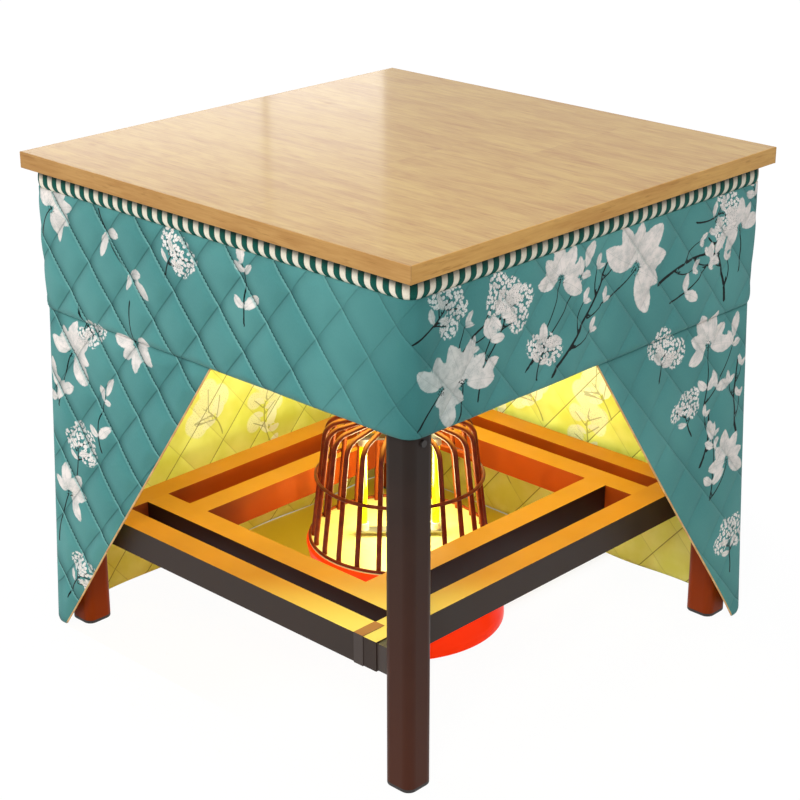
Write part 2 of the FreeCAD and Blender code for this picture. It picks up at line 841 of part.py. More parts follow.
def to_the_back(degrees=0):
    """Turns a piece's own Z axis level, to point away from the table's centre at the back right."""
    return turned(degrees).multiply(FreeCAD.Rotation(FreeCAD.Vector(1, 0, 0), -90))


def make_base_shell():
    rim = [(base_rim_radius, s.base_top), (base_rim_radius, s.base_top - s.base_wall)]
    shell = turned_body("base_shell_turning",
                        base_corners(as_size(0)) + rim + base_corners(s.base_wall)[::-1])
    bush_hole = cylinder("bush_hole", s.bush_radius + s.bush_gap, s.base_radius,
                         z=s.control_height, rotation=to_the_back())
    named(cut("base_shell", shell, bush_hole), "base_shell")


def make_base_bottom():
    """The plate that closes the base, with a guide hole for the plunger, and its rubber feet."""
    body = new_body("base_plate")
    outline = new_sketch(body, "XY_Plane", s.base_low)
    draw_circle(outline, 0, 0, s.base_radius - s.base_wall - s.base_plate_gap)
    draw_circle(outline, s.plunger_offset, 0, s.plunger_radius + s.plunger_gap)
    pad(body, outline, s.base_plate_thick)
    named(body, "base_plate")
    feet = new_body("base_feet")
    sole = new_sketch(feet, "XY_Plane")
    draw_circle(sole, 0, s.base_radius - s.base_foot_inset, s.base_foot_radius)
    foot = pad(feet, sole, s.base_low)
    around(feet, [foot], len(CORNERS))
    named(feet, "base_feet")


def make_deck():
    """The reflector plate that closes the base's top and carries the cage."""
    body = turned_body("deck", [(s.post_radius, s.base_top), (deck_radius, s.base_top),
                                (deck_radius, deck_top), (s.post_radius, deck_top)])
    named(body, "deck")


def cage_radius_at(height):
    """The radius of the wires' centre lines on their straight taper."""
    fall = s.cage_lean / (s.cage_shoulder_height - cage_foot_top)
    return cage_foot - (height - cage_foot_top) * fall


def make_cage():
    """Upright wires that bend over a shoulder to the hub, inside two rings."""
    body = new_body("cage_wires")
    route = new_sketch(body, "XZ_Plane")
    draw(route, [(cage_foot, deck_top),
                 (cage_foot, cage_foot_top, s.cage_foot_bend),
                 (cage_shoulder, s.cage_shoulder_height, s.cage_shoulder_bend),
                 (s.cage_crown, s.cage_top, s.cage_crown_bend),
                 (s.hub_radius, s.cage_top)], closed=False)
    section = new_sketch(body, "XY_Plane", deck_top)
    draw_circle(section, cage_foot, 0, s.wire_radius)
    wire = body.newObject("PartDesign::AdditivePipe", "cage_wire")
    wire.Profile = section
    wire.Spine = (route, [])
    document.recompute()
    around(body, [wire], WIRE_COUNT)
    named(body, "cage_wires")
    make_cage_ring("cage_foot_ring", cage_foot + s.wire_radius + s.foot_ring_radius,
                   deck_top + s.foot_ring_radius, s.foot_ring_radius)
    make_cage_ring("cage_middle_ring", cage_radius_at(s.cage_ring_height) + s.wire_radius
                   + s.middle_ring_radius + s.cage_ring_gap, s.cage_ring_height,
                   s.middle_ring_radius)
    hub = turned_body("cage_hub", [
        (0, s.cage_top - s.hub_below), (s.hub_radius, s.cage_top - s.hub_below),
        (s.hub_radius, s.cage_top + s.hub_above), (s.hub_radius / 2, s.cage_top + s.hub_crown),
        (0, s.cage_top + s.hub_crown)])
    named(hub, "cage_hub")


def make_cage_ring(label, radius, height, thick):
    ring = document.addObject("Part::Torus", label)
    bind(ring, "Radius1", radius)
    bind(ring, "Radius2", thick)
    place(ring, z=height)
    return named(ring, label)


def make_holder(label, low):
    """A cross of four arms on the post, with a heating tube at the end of each arm."""
    body = new_body(label)
    outline = new_sketch(body, "XY_Plane", low)
    half = s.holder_arm_width / 2
    reach = s.holder_reach
    draw(outline, [(reach, -half), (reach, half), (half, half), (half, reach), (-half, reach),
                   (-half, half), (-reach, half), (-reach, -half), (-half, -half), (-half, -reach),
                   (half, -reach), (half, -half)])
    draw_circle(outline, 0, 0, s.post_radius)
    pad(body, outline, s.holder_thick)
    body.Placement = FreeCAD.Placement(FreeCAD.Vector(), turned(45))
    return named(body, label)


def make_heating_tubes():
    """Quartz tubes held upright between two end caps each."""
    low = s.holder_low + s.holder_thick
    share = s.tube_circle * math.sqrt(0.5)
    spots = [(share, -share), (share, share), (-share, share), (-share, -share)]
    for i, (x, y) in enumerate(spots[:TUBE_COUNT], start=1):
        tube = cylinder(f"heating_tube_{i}", s.tube_radius,
                        s.holder_high - low - 2 * s.tube_cap_floor, x, y, low + s.tube_cap_floor)
        named(tube, f"heating_tube_{i}")
    body = new_body("tube_caps")
    caps = []
    for bottom, mouth, downward in ((low, low + s.tube_cap_floor, False),
                                    (s.holder_high, s.holder_high - s.tube_cap_floor, True)):
        outside = new_sketch(body, "XY_Plane", bottom)
        draw_circle(outside, s.tube_circle, 0, s.tube_cap_radius)
        caps.append(pad(body, outside, s.tube_cap_floor, backwards=downward))
        sleeve = new_sketch(body, "XY_Plane", mouth)
        draw_circle(sleeve, s.tube_circle, 0, s.tube_cap_radius)
        draw_circle(sleeve, s.tube_circle, 0, s.tube_radius)
        caps.append(pad(body, sleeve, s.tube_cap_length - s.tube_cap_floor, backwards=downward))
    around(body, caps, TUBE_COUNT)
    body.Placement = FreeCAD.Placement(FreeCAD.Vector(), turned(45))
    named(body, "tube_caps")


def make_tube_carrier():
    post = cylinder("centre_post", s.post_radius, s.cage_top - s.hub_below - s.base_top, z=s.base_top)
    named(post, "centre_post")
    make_holder("tube_holder_lower", s.holder_low)
    make_holder("tube_holder_upper", s.holder_high)


bezel_face = base_shoulder_radius + s.bezel_proud


def make_controls(base_form):
    """The rotary switch inside the base, the bezel round its bush and the knob on its shaft."""
    rotation = to_the_back()
    disc = cylinder("bezel_disc", s.bezel_radius, bezel_face - base_rim_radius,
                    y=base_rim_radius, z=s.control_height, rotation=rotation)
    bore = cylinder("bezel_bore", s.bush_radius + s.bush_gap, s.base_radius,
                    y=base_rim_radius, z=s.control_height, rotation=rotation)
    seated = cut("bezel_seated", disc, base_form)
    named(cut("switch_bezel", seated, bore), "switch_bezel")
    front = base_shoulder_radius - s.switch_inset
    housing = block("switch_housing", s.switch_side, s.switch_depth, s.switch_side,
                    as_size(0), front - s.switch_depth / 2, s.control_height - s.switch_side / 2)
    bush = cylinder("switch_bush", s.bush_radius, bezel_face - front, y=front,
                    z=s.control_height, rotation=rotation)
    shaft_hole = cylinder("shaft_hole", s.shaft_radius + s.shaft_gap, s.base_radius,
                          y=bezel_face + s.knob_gap - s.shaft_length - s.knob_gap,
                          z=s.control_height, rotation=rotation)
    named(cut("rotary_switch", fuse("switch_and_bush", housing, bush), shaft_hole), "rotary_switch")
    knob = turned_body("knob_turning", [
        (0, -s.shaft_length), (s.shaft_radius, -s.shaft_length), (s.shaft_radius, 0),
        (s.knob_radius, 0), (s.knob_nose_radius, s.knob_length, s.knob_round), (0, s.knob_length)])
    grip = new_sketch(knob, "XY_Plane", s.knob_length)
    draw_rectangle(grip, -s.knob_grip_width / 2, s.knob_round - s.knob_nose_radius,
                   s.knob_grip_width / 2, s.knob_nose_radius - s.knob_round)
    pad(knob, grip, s.knob_grip_rise)
    place(knob, 0, bezel_face + s.knob_gap, s.control_height, rotation)
    named(knob, "switch_knob")


def make_tip_switch():
    """A plunger that the floor presses in, under a housing that stands on the base plate."""
    collar_low = plate_top + s.plunger_travel + s.plunger_stop_gap
    collar_high = collar_low + s.plunger_collar_thick
    top = s.soft_gap + s.plunger_length
    body = turned_body("tip_plunger", [
        (0, s.soft_gap), (s.plunger_radius, s.soft_gap), (s.plunger_radius, collar_low),
        (s.plunger_collar_radius, collar_low), (s.plunger_collar_radius, collar_high),
        (s.plunger_radius, collar_high), (s.plunger_radius, top), (0, top)])
    place(body, s.plunger_offset)
    named(body, "tip_plunger")
    housing = block("tip_housing", s.tip_box_length, s.tip_box_width, s.tip_box_height,
                    s.plunger_offset, as_size(0), plate_top)
    room = cylinder("tip_room", s.plunger_collar_radius + s.tip_box_gap,
                    s.plunger_length + s.plunger_travel - s.base_low + s.tip_box_gap,
                    s.plunger_offset, 0, plate_top)
    named(cut("tip_switch", housing, room), "tip_switch")


def make_gland(base_form):
    """The tapered sleeve where the mains lead would enter, with an open mouth."""
    sleeve = turned_body("gland_sleeve", [
        (0, -s.gland_sink), (s.gland_flange_radius, -s.gland_sink),
        (s.gland_flange_radius, s.gland_flange_thick), (s.gland_root_radius, s.gland_flange_thick),
        (s.gland_tip_radius, s.gland_length), (s.gland_bore_radius, s.gland_length),
        (s.gland_bore_radius, s.gland_length - s.gland_bore_depth),
        (0, s.gland_length - s.gland_bore_depth)])
    away = math.radians(GLAND_TURN)
    seat = base_shoulder_radius - s.gland_inset
    place(sleeve, -seat * math.sin(away), seat * math.cos(away), s.gland_height,
          to_the_back(GLAND_TURN))
    named(cut("cord_gland", sleeve, base_form), "cord_gland")


def make_heater():
    base_form = make_base_form()
    make_base_shell()
    make_base_bottom()
    make_deck()
    make_cage()
    make_tube_carrier()
    make_heating_tubes()
    make_controls(base_form)
    make_tip_switch()
    make_gland(base_form)


def make_frame():
    for corner in CORNERS:
        make_leg(corner, bolted=corner == "front")
    named(group("feet", [make_foot(corner) for corner in CORNERS]), "feet")
    make_leg_bolt()
    for side in SIDES:
        make_apron(side)
    make_corner_plates()


def make_cover():
    make_top_sheet()
    make_piping()
    make_ring_of_cloth("cover_valance", valance_inner, valance_inner_round, s.valance_thick,
                       s.hem_height, piping_bottom + s.valance_tuck, s.hem_round)
    make_ring_of_cloth("skirt_header", skirt_inner, skirt_inner_round, s.cloth_thick,
                       s.hem_height, piping_bottom)
    make_skirt()


def check_and_write():
    """Stops at any object that failed, then writes each piece."""
    document.recompute()
    for item in document.Objects:
        if "Invalid" in item.State or "Error" in item.State:
            raise RuntimeError(f"{item.Name} is {item.State}")
    for item in parts:
        if item.Shape.isNull() or not item.Shape.isValid() or not item.Shape.Solids:
            raise RuntimeError(f"{item.Label} has no valid solid")
    os.makedirs("parts", exist_ok=True)
    for item in parts:
        item.Shape.exportStep(f"parts/{item.Label}.step")
    solids = sum(len(item.Shape.Solids) for item in parts)
    print(f"{len(parts)} pieces, {solids} solids")


make_frame()
make_footrest()
make_rest_fittings()
make_tabletop()
make_cover()
make_heater()
check_and_write()
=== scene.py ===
"""A heated table in its quilted cover, with the finishes of its cloth, wood, steel and glowing heater.

Lengths are in metres. The cloth is laid out flat first, along the table's sides and up from the
floor, and is then bent round the table, so that its quilting and its print run on from side to side.
"""

import math

import bmesh
import bpy
import numpy as np
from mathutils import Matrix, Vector


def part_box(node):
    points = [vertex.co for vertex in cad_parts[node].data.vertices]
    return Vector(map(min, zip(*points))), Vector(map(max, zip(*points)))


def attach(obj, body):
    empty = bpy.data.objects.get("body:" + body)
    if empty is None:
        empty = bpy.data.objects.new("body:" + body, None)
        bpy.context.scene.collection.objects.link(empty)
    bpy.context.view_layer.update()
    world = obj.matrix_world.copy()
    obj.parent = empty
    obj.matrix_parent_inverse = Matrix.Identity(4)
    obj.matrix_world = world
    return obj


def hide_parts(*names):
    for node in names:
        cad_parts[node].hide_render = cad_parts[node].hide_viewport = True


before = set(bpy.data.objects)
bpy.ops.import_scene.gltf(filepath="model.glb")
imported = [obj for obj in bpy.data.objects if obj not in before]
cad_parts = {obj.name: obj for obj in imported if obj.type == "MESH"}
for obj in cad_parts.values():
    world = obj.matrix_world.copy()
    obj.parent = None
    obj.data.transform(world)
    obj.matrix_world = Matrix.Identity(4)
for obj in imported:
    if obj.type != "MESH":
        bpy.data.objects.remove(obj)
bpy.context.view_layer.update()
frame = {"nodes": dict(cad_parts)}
nodes = frame["nodes"]

SIDES = ("front_left", "front_right", "back_right", "back_left")
CORNERS = ("front", "right", "back", "left")

# The cover's line round the table: straight runs between rounded corners
STRAIGHT = 0.367
CORNER = 0.023
SIDE_RUN = 2 * STRAIGHT + CORNER * math.pi / 2
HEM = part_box("cover_valance")[0].z
VALANCE_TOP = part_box("cover_valance")[1].z
SKIRT_RADIUS = 0.0186
SKIRT_TOP = HEM - 0.0006
SKIRT_FOOT = 0.004
SKIRT_FLARE = 0.0170
SKIRT_SPREAD = 0.0035
CLOTH_THICK = 0.004
SKIRT_MIDDLE = SKIRT_RADIUS - CLOTH_THICK / 2
FOLD_DEEP = 0.0022
FOLD_WIDE = 0.27
OPENING_FOOT = 0.362
SHEET_CORNER = 0.0146
VALANCE_OUTSIDE = 0.0191
VALANCE_INSIDE = 0.0190
HEADER_OUTSIDE = 0.0185
HEADER_INSIDE = 0.0147
TAPE_WIDE = 0.0015
TAPE_THICK = 0.0013

# Quilting: diamonds stitched on a grid of small cells
DIAMOND_WIDE = SIDE_RUN / 8
CELLS = 24
CELL_TALL = 0.1 / 22
DIAMOND_TALL = CELL_TALL * CELLS
LATTICE_ALONG = 0.0281
LATTICE_UP = HEM + 0.1
LINE_GAP = 1 / math.hypot(1 / DIAMOND_WIDE, 1 / DIAMOND_TALL)
# Where a diamond's padding is highest, from the line behind it to the line ahead
CREST = 0.80
SHARP_CREST = 0.93
VALANCE_PAD = 0.0078
SKIRT_PAD = 0.0076
SKIRT_PAD_INSIDE = 0.0030

# Piping round the cover's upper edge
PIPING_PAIRS = 140
PIPING_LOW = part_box("cover_piping")[0].z
PIPING_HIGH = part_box("cover_piping")[1].z
PIPING_BACK = 0.0146
PIPING_BULGE = 0.0070
# The share of the roll's round that is its bowed front
PIPING_FRONT = 0.72

# The camera's place, and the window that the tabletop mirrors
EYE_X, EYE_Y, EYE_Z = 1.960, -2.054, 1.520
MIRRORED_EYE_Z = 0.040
WINDOW_AWAY = 7.0


def maths_node(operation):
    """A method that works out a new value with a Math node."""
    def method(self, *others):
        return self.nodes.add("Math", {"operation": operation}, dict(enumerate((self,) + others)))
    return method


class Value:
    """A value that varies over a surface. Python's arithmetic on it adds Math nodes."""

    def __init__(self, nodes, socket):
        self.nodes = nodes
        self.socket = socket

    __add__ = __radd__ = maths_node("ADD")
    __sub__ = maths_node("SUBTRACT")
    __mul__ = __rmul__ = maths_node("MULTIPLY")
    __truediv__ = maths_node("DIVIDE")
    __lt__ = maths_node("LESS_THAN")
    __gt__ = maths_node("GREATER_THAN")
    least = maths_node("MINIMUM")
    most = maths_node("MAXIMUM")
    size = maths_node("ABSOLUTE")
    whole = maths_node("FLOOR")
    rounded = maths_node("ROUND")
    part = maths_node("FRACT")
    wave = maths_node("SINE")
    power = maths_node("POWER")
    root = maths_node("SQRT")

    def __rsub__(self, other):
        return self.nodes.add("Math", {"operation": "SUBTRACT"}, {0: other, 1: self})

    def __neg__(self):
        return self * -1

    def to_line(self):
        """The distance to the nearest whole number, from 0 to a half."""
        return (self - self.rounded()).size()

    def kept(self):
        """Kept between 0 and 1."""
        return self.nodes.add("Clamp", {}, {0: self})

    def near(self, reach):
        """1 at zero, falling evenly to 0 at a reach."""
        return 1 - (self / reach).kept()

    def eased(self, start, end):
        """0 before start and 1 after end, smoothly."""
        return self.nodes.add("MapRange", {"interpolation_type": "SMOOTHSTEP"},
                              {0: self, 1: start, 2: end, 3: 0, 4: 1})


class Nodes:
    """A material's or the world's nodes."""

    def __init__(self, tree):
        self.tree = tree

    def add(self, kind, settings, inputs, output=0):
        """Adds a node, sets it, feeds its sockets and gives one of its outputs."""
        node = self.tree.nodes.new("ShaderNode" + kind)
        for name, setting in settings.items():
            setattr(node, name, setting)
        for key, value in inputs.items():
            self.feed(node.inputs[key], value)
        return Value(self, node.outputs[output])

    def feed(self, socket, value):
        if isinstance(value, Value):
            self.tree.links.new(value.socket, socket)
        else:
            socket.default_value = value

    def point(self):
        """The place on the surface, in the table's own coordinates."""
        return self.add("TexCoord", {}, {}, "Object")

    def place(self):
        """The same place as x, y and z."""
        return self.split(self.point())

    def flat_place(self):
        """The place on the flat cloth, whole and as how far along and up it is."""
        point = self.add("UVMap", {}, {})
        return (point, *self.split(point)[:2])

    def split(self, vector):
        node = self.add("SeparateXYZ", {}, {0: vector}).socket.node
        return tuple(Value(self, socket) for socket in node.outputs)

    def joined(self, x, y, z):
        return self.add("CombineXYZ", {}, {0: x, 1: y, 2: z})

    def attribute(self, name):
        return self.add("Attribute", {"attribute_name": name}, {}, "Fac")

    def noise(self, point, scale, detail=2, rough=0.5):
        return self.add("TexNoise", {}, {"Vector": point, "Scale": scale, "Detail": detail,
                                         "Roughness": rough}, 0)

    def cloud(self, scale, detail=2):
        """Soft patches over the surface, from 0 to 1."""
        return self.noise(self.point(), scale, detail).eased(0.3, 0.7)

    def random(self, point):
        return self.add("TexWhiteNoise", {"noise_dimensions": "3D"}, {"Vector": point}, 0)

    def between(self, share, first, second):
        """A colour between two others."""
        mix = {"data_type": "RGBA", "blend_type": "MIX"}
        return self.add("Mix", mix, {0: share, 6: colour_of(first), 7: colour_of(second)}, 2)

    def shaded(self, share, colour, other):
        """A colour multiplied by another, by a share."""
        mix = {"data_type": "RGBA", "blend_type": "MULTIPLY"}
        return self.add("Mix", mix, {0: share, 6: colour_of(colour), 7: colour_of(other)}, 2)

    def bump(self, height, strength, distance):
        return self.add("Bump", {}, {"Strength": strength, "Distance": distance, "Height": height})


class Finish(Nodes):
    """A material: its principled surface takes constants and values by socket name."""

    def __init__(self, name, **sockets):
        self.material = bpy.data.materials.new(name)
        self.material.use_nodes = True
        super().__init__(self.material.node_tree)
        self.surface = self.tree.nodes["Principled BSDF"]
        self.set(**sockets)

    def set(self, **sockets):
        for name, value in sockets.items():
            self.feed(self.surface.inputs[name.replace("_", " ")], value)
        return self.material


def paint(colour):
    """A colour given as red, green and blue from 0 to 255, as the shader's own numbers."""
    def linear(level):
        level = level / 255
        return level / 12.92 if level <= 0.04045 else ((level + 0.055) / 1.055) ** 2.4
    return tuple(linear(level) for level in colour) + (1,)


def colour_of(value):
    return value if isinstance(value, Value) else paint(value)


def raised(colour, by):
    return tuple(min(255, level + by) for level in colour)


def dimmed(colour, share):
    return tuple(round(share * level) for level in colour)


def fine_grain(finish, scale, strength):
    """The small unevenness of a painted or moulded surface."""
    return finish.bump(finish.noise(finish.point(), scale, 3), strength, 0.0005)


def towards_the_heater(finish):
    """How far a surface faces the table's middle, how far it faces up, and its height."""
    x, y, z = finish.place()
    normal = finish.split(finish.add("NewGeometry", {}, {}, "Normal"))
    reach = (x * x + y * y).root() + 0.001
    return (-(x * normal[0] + y * normal[1]) / reach).kept(), normal[2].kept(), z


# Cloth

def stitched_lines(along, up):
    """How many stitched lines of either direction lie before a point of the flat cloth."""
    across, rising = (along - LATTICE_ALONG) / DIAMOND_WIDE, (up - LATTICE_UP) / DIAMOND_TALL
    return across + rising, across - rising


class Quilting:
    """Where a point of the flat cloth lies between its stitched lines."""

    def __init__(self, along, up):
        first, second = stitched_lines(along, up)
        self.along, self.up = along, up
        self.past = first.part()
        self.behind = self.past * LINE_GAP
        self.ahead = LINE_GAP - self.behind
        self.beside = second.to_line() * LINE_GAP
        self.below = second.part() * LINE_GAP
        self.on_first = self.behind.least(self.ahead)
        self.seam = self.on_first.least(self.beside)
        self.taut = along.eased(0.05, 0.38) * (1 - along.eased(1.13, 1.18))

    def relief(self):
        """The padding between the lines, which hangs over the line ahead of it."""
        hang = (1 - self.past / SHARP_CREST).most((self.past - SHARP_CREST) / (1 - SHARP_CREST))
        across = 1 - self.beside * (2 / LINE_GAP)
        return (1 - hang * hang) * (1 - across * across * across)

    def bump(self, finish, strength, padding):
        """The padding, the grooves of the stitching, puckers beside them and the weave."""
        groove = self.seam.near(0.0022)
        pucker = finish.noise(finish.joined(self.along, self.up, 0), 150, 2)
        pucker = pucker * self.seam.near(0.016)
        weave = (self.along * (2 * math.pi / 0.0011)).wave() * (self.up * (2 * math.pi / 0.0011)).wave()
        height = (self.relief() * (1 - self.taut * 0.75) * padding
                  - groove * groove * 0.0005 + pucker * 0.0010 + weave * 0.00004)
        return finish.bump(height / 0.002, strength, 0.002)


def print_marks(finish, point):
    """The print's shares of leaf and stem, and the leaves' own drawing, with ragged edges."""
    ragged = finish.noise(point, 190, 3)
    leaf = finish.attribute("leaf") + (ragged - 0.5) * 3.2
    leaf_share = (leaf * -1.1 + 0.45).kept()
    vein = finish.attribute("vein").size()
    rib = vein.near(0.9) * (1 - (leaf / -5.5).kept() * 0.55)
    rim = leaf.near(-1.6) * 0.45
    grains, specks = (finish.add("TexVoronoi", {"voronoi_dimensions": "2D"},
                                 {"Vector": point, "Scale": scale, "Randomness": loose}, "Distance")
                      for scale, loose in ((170, 0.9), (260, 1.0)))
    seeds = finish.attribute("seeds") + (ragged - 0.5) * 9
    seed_share = (1 - grains.eased(0.42, 0.52)) * (seeds * -0.5 + 0.5).kept()
    stem = finish.attribute("stem_side").size() + (ragged - 0.5) * 0.5
    stem_share = (1 - stem.eased(0.8, 1.3)) * (1 - finish.attribute("stem").eased(2.9, 3.4))
    heart = finish.attribute("heart") + (ragged - 0.5) * 14
    dark = (specks < 0.30) * (heart * -0.4 + 0.5).kept()
    dark = dark.most((specks < 0.14) * (seeds * -0.3).kept() * 0.8)
    return leaf_share, rib, rim, seed_share, stem_share, dark


def printed_cloth():
    finish = Finish("teal_quilted_cloth", Roughness=0.72, Sheen_Weight=0.05, Sheen_Roughness=0.5,
                    Specular_IOR_Level=0.14)
    point, along, up = finish.flat_place()
    quilting = Quilting(along, up)
    cloud = finish.noise(point, 4.5, 3).eased(0.35, 0.68)
    ground = finish.between(cloud, (78, 143, 142), (92, 157, 155))
    threads = finish.noise(finish.joined(along * 900, up * 260, 0), 1, 2).eased(0.3, 0.75)
    ground = finish.between(threads * 0.14, ground, (104, 172, 170))
    leaf_share, rib, rim, seed_share, stem_share, dark = print_marks(finish, point)
    brushed = finish.noise(point, 60, 4, 0.65).eased(0.36, 0.68)
    leaf_colour = finish.between(brushed * 0.5, (255, 246, 241), (220, 214, 210))
    leaf_colour = finish.between(rim, leaf_colour, (172, 194, 192))
    strokes = ((finish.attribute("vein") + brushed * 1.5) * 3.4).wave() * 0.5 + 0.5
    leaf_colour = finish.between(strokes * brushed * 0.55, leaf_colour, (168, 184, 180))
    leaf_colour = finish.between(rib * 0.42, leaf_colour, (88, 120, 118))
    colour = finish.between(stem_share * 0.99, ground, (3, 9, 11))
    colour = finish.between(seed_share * 0.95, colour, (252, 246, 242))
    colour = finish.between(leaf_share * 0.97, colour, leaf_colour)
    colour = finish.between(dark * 0.95, colour, (14, 30, 30))
    # Painted shade: darker in the dip just past each stitched line and along its groove, below the
    # crossing lines and along them.
    hollow_shade = quilting.behind.near(0.026)
    crease_shade = quilting.behind.near(0.0026)
    under = quilting.below.near(0.024)
    cross_seam_shade = quilting.beside.near(0.0020) * 0.55
    shade = (hollow_shade * hollow_shade * 0.62 + under * under * 0.32 + crease_shade * 0.55).most(cross_seam_shade)
    colour = finish.shaded(shade * (1 - quilting.taut * 0.66), colour, (92, 120, 122))
    # Painted highlight: a thin pale line along the crest that overhangs each stitched line.
    ridge_highlight = (1 - (quilting.ahead / 0.0034).kept().power(2)) * (1 - quilting.taut * 0.8)
    colour = finish.between(ridge_highlight * 0.66, colour, (138, 204, 200))
    # Painted shade: darker round the front corner.
    corner = (along - SIDE_RUN / 2 - 0.012).size().near(0.16)
    colour = finish.shaded(corner * 0.85, colour, (170, 196, 198))
    return finish.set(Base_Color=colour, Normal=quilting.bump(finish, 0.9, 0.0040))


def lining():
    """The cover's inside: the print shows through it faintly."""
    finish = Finish("warm_white_lining", Roughness=0.85)
    point, along, up = finish.flat_place()
    quilting = Quilting(along, up)
    leaf_share, _, _, _, stem_share, dark = print_marks(finish, point)
    cloud = finish.noise(point, 12, 3).eased(0.3, 0.7)
    colour = finish.between(cloud, (230, 232, 116), (250, 252, 164))
    shown = leaf_share.most((finish.attribute("seeds") * -0.3).kept() * 0.8)
    colour = finish.between(shown * 0.95, colour, (255, 255, 252))
    colour = finish.between(stem_share.most(dark) * 0.50, colour, (70, 60, 18))
    # Painted shade: thin dark lines in the grooves of the stitched lines.
    shade = quilting.on_first.near(0.0013).most(quilting.beside.near(0.0012) * 0.3)
    colour = finish.shaded(shade * 0.9, colour, (110, 98, 50))
    return finish.set(Base_Color=colour, Normal=quilting.bump(finish, 0.8, 0.001))


def cloth_edge(name, colour, other):
    finish = Finish(name, Roughness=0.8, Sheen_Weight=0.2)
    return finish.set(Base_Color=finish.between(finish.cloud(60), colour, other),
                      Normal=fine_grain(finish, 900, 0.3))


def striped_piping():
    finish = Finish("striped_piping", Roughness=0.7, Specular_IOR_Level=0.2)
    _, turns, over = finish.flat_place()
    cream = turns.part() > 0.5
    # The band edges: a bump, and also a painted shade in the fold between the bands.
    fold = 1 - (((turns * 2).part() - 0.5).size() * -14 + 7).kept()
    dyed = finish.noise(finish.joined(turns * 4, over * 3, 0), 6, 3).eased(0.3, 0.7)
    colour = finish.between(cream, finish.between(dyed, (5, 74, 64), (12, 92, 80)),
                            finish.between(dyed, (236, 229, 208), (250, 244, 228)))
    # Painted shade in the folds between the bands.
    colour = finish.shaded(fold * 0.5, colour, (60, 56, 44))
    # Painted shadow of the tabletop over the roll's upper part.
    colour = finish.shaded(over.eased(0.34, 0.58) * 0.94, colour, (48, 40, 32))
    threads = (turns * (2 * math.pi * 14)).wave() * (over * (2 * math.pi * 24)).wave()
    return finish.set(Base_Color=colour, Normal=finish.bump(threads * 0.15 - fold, 0.5, 0.001))


def round_marks(place, marks):
    """The distance to the nearest of some round marks, in millimetres and below zero inside."""
    distance = np.full(len(place), 9.0)
    for centre, radius in marks:
        distance = np.minimum(distance, np.hypot(*((place - centre) * 1000).T) - radius * 1000)
    return distance


def direction_of(heading):
    return np.array([math.cos(heading), math.sin(heading)])


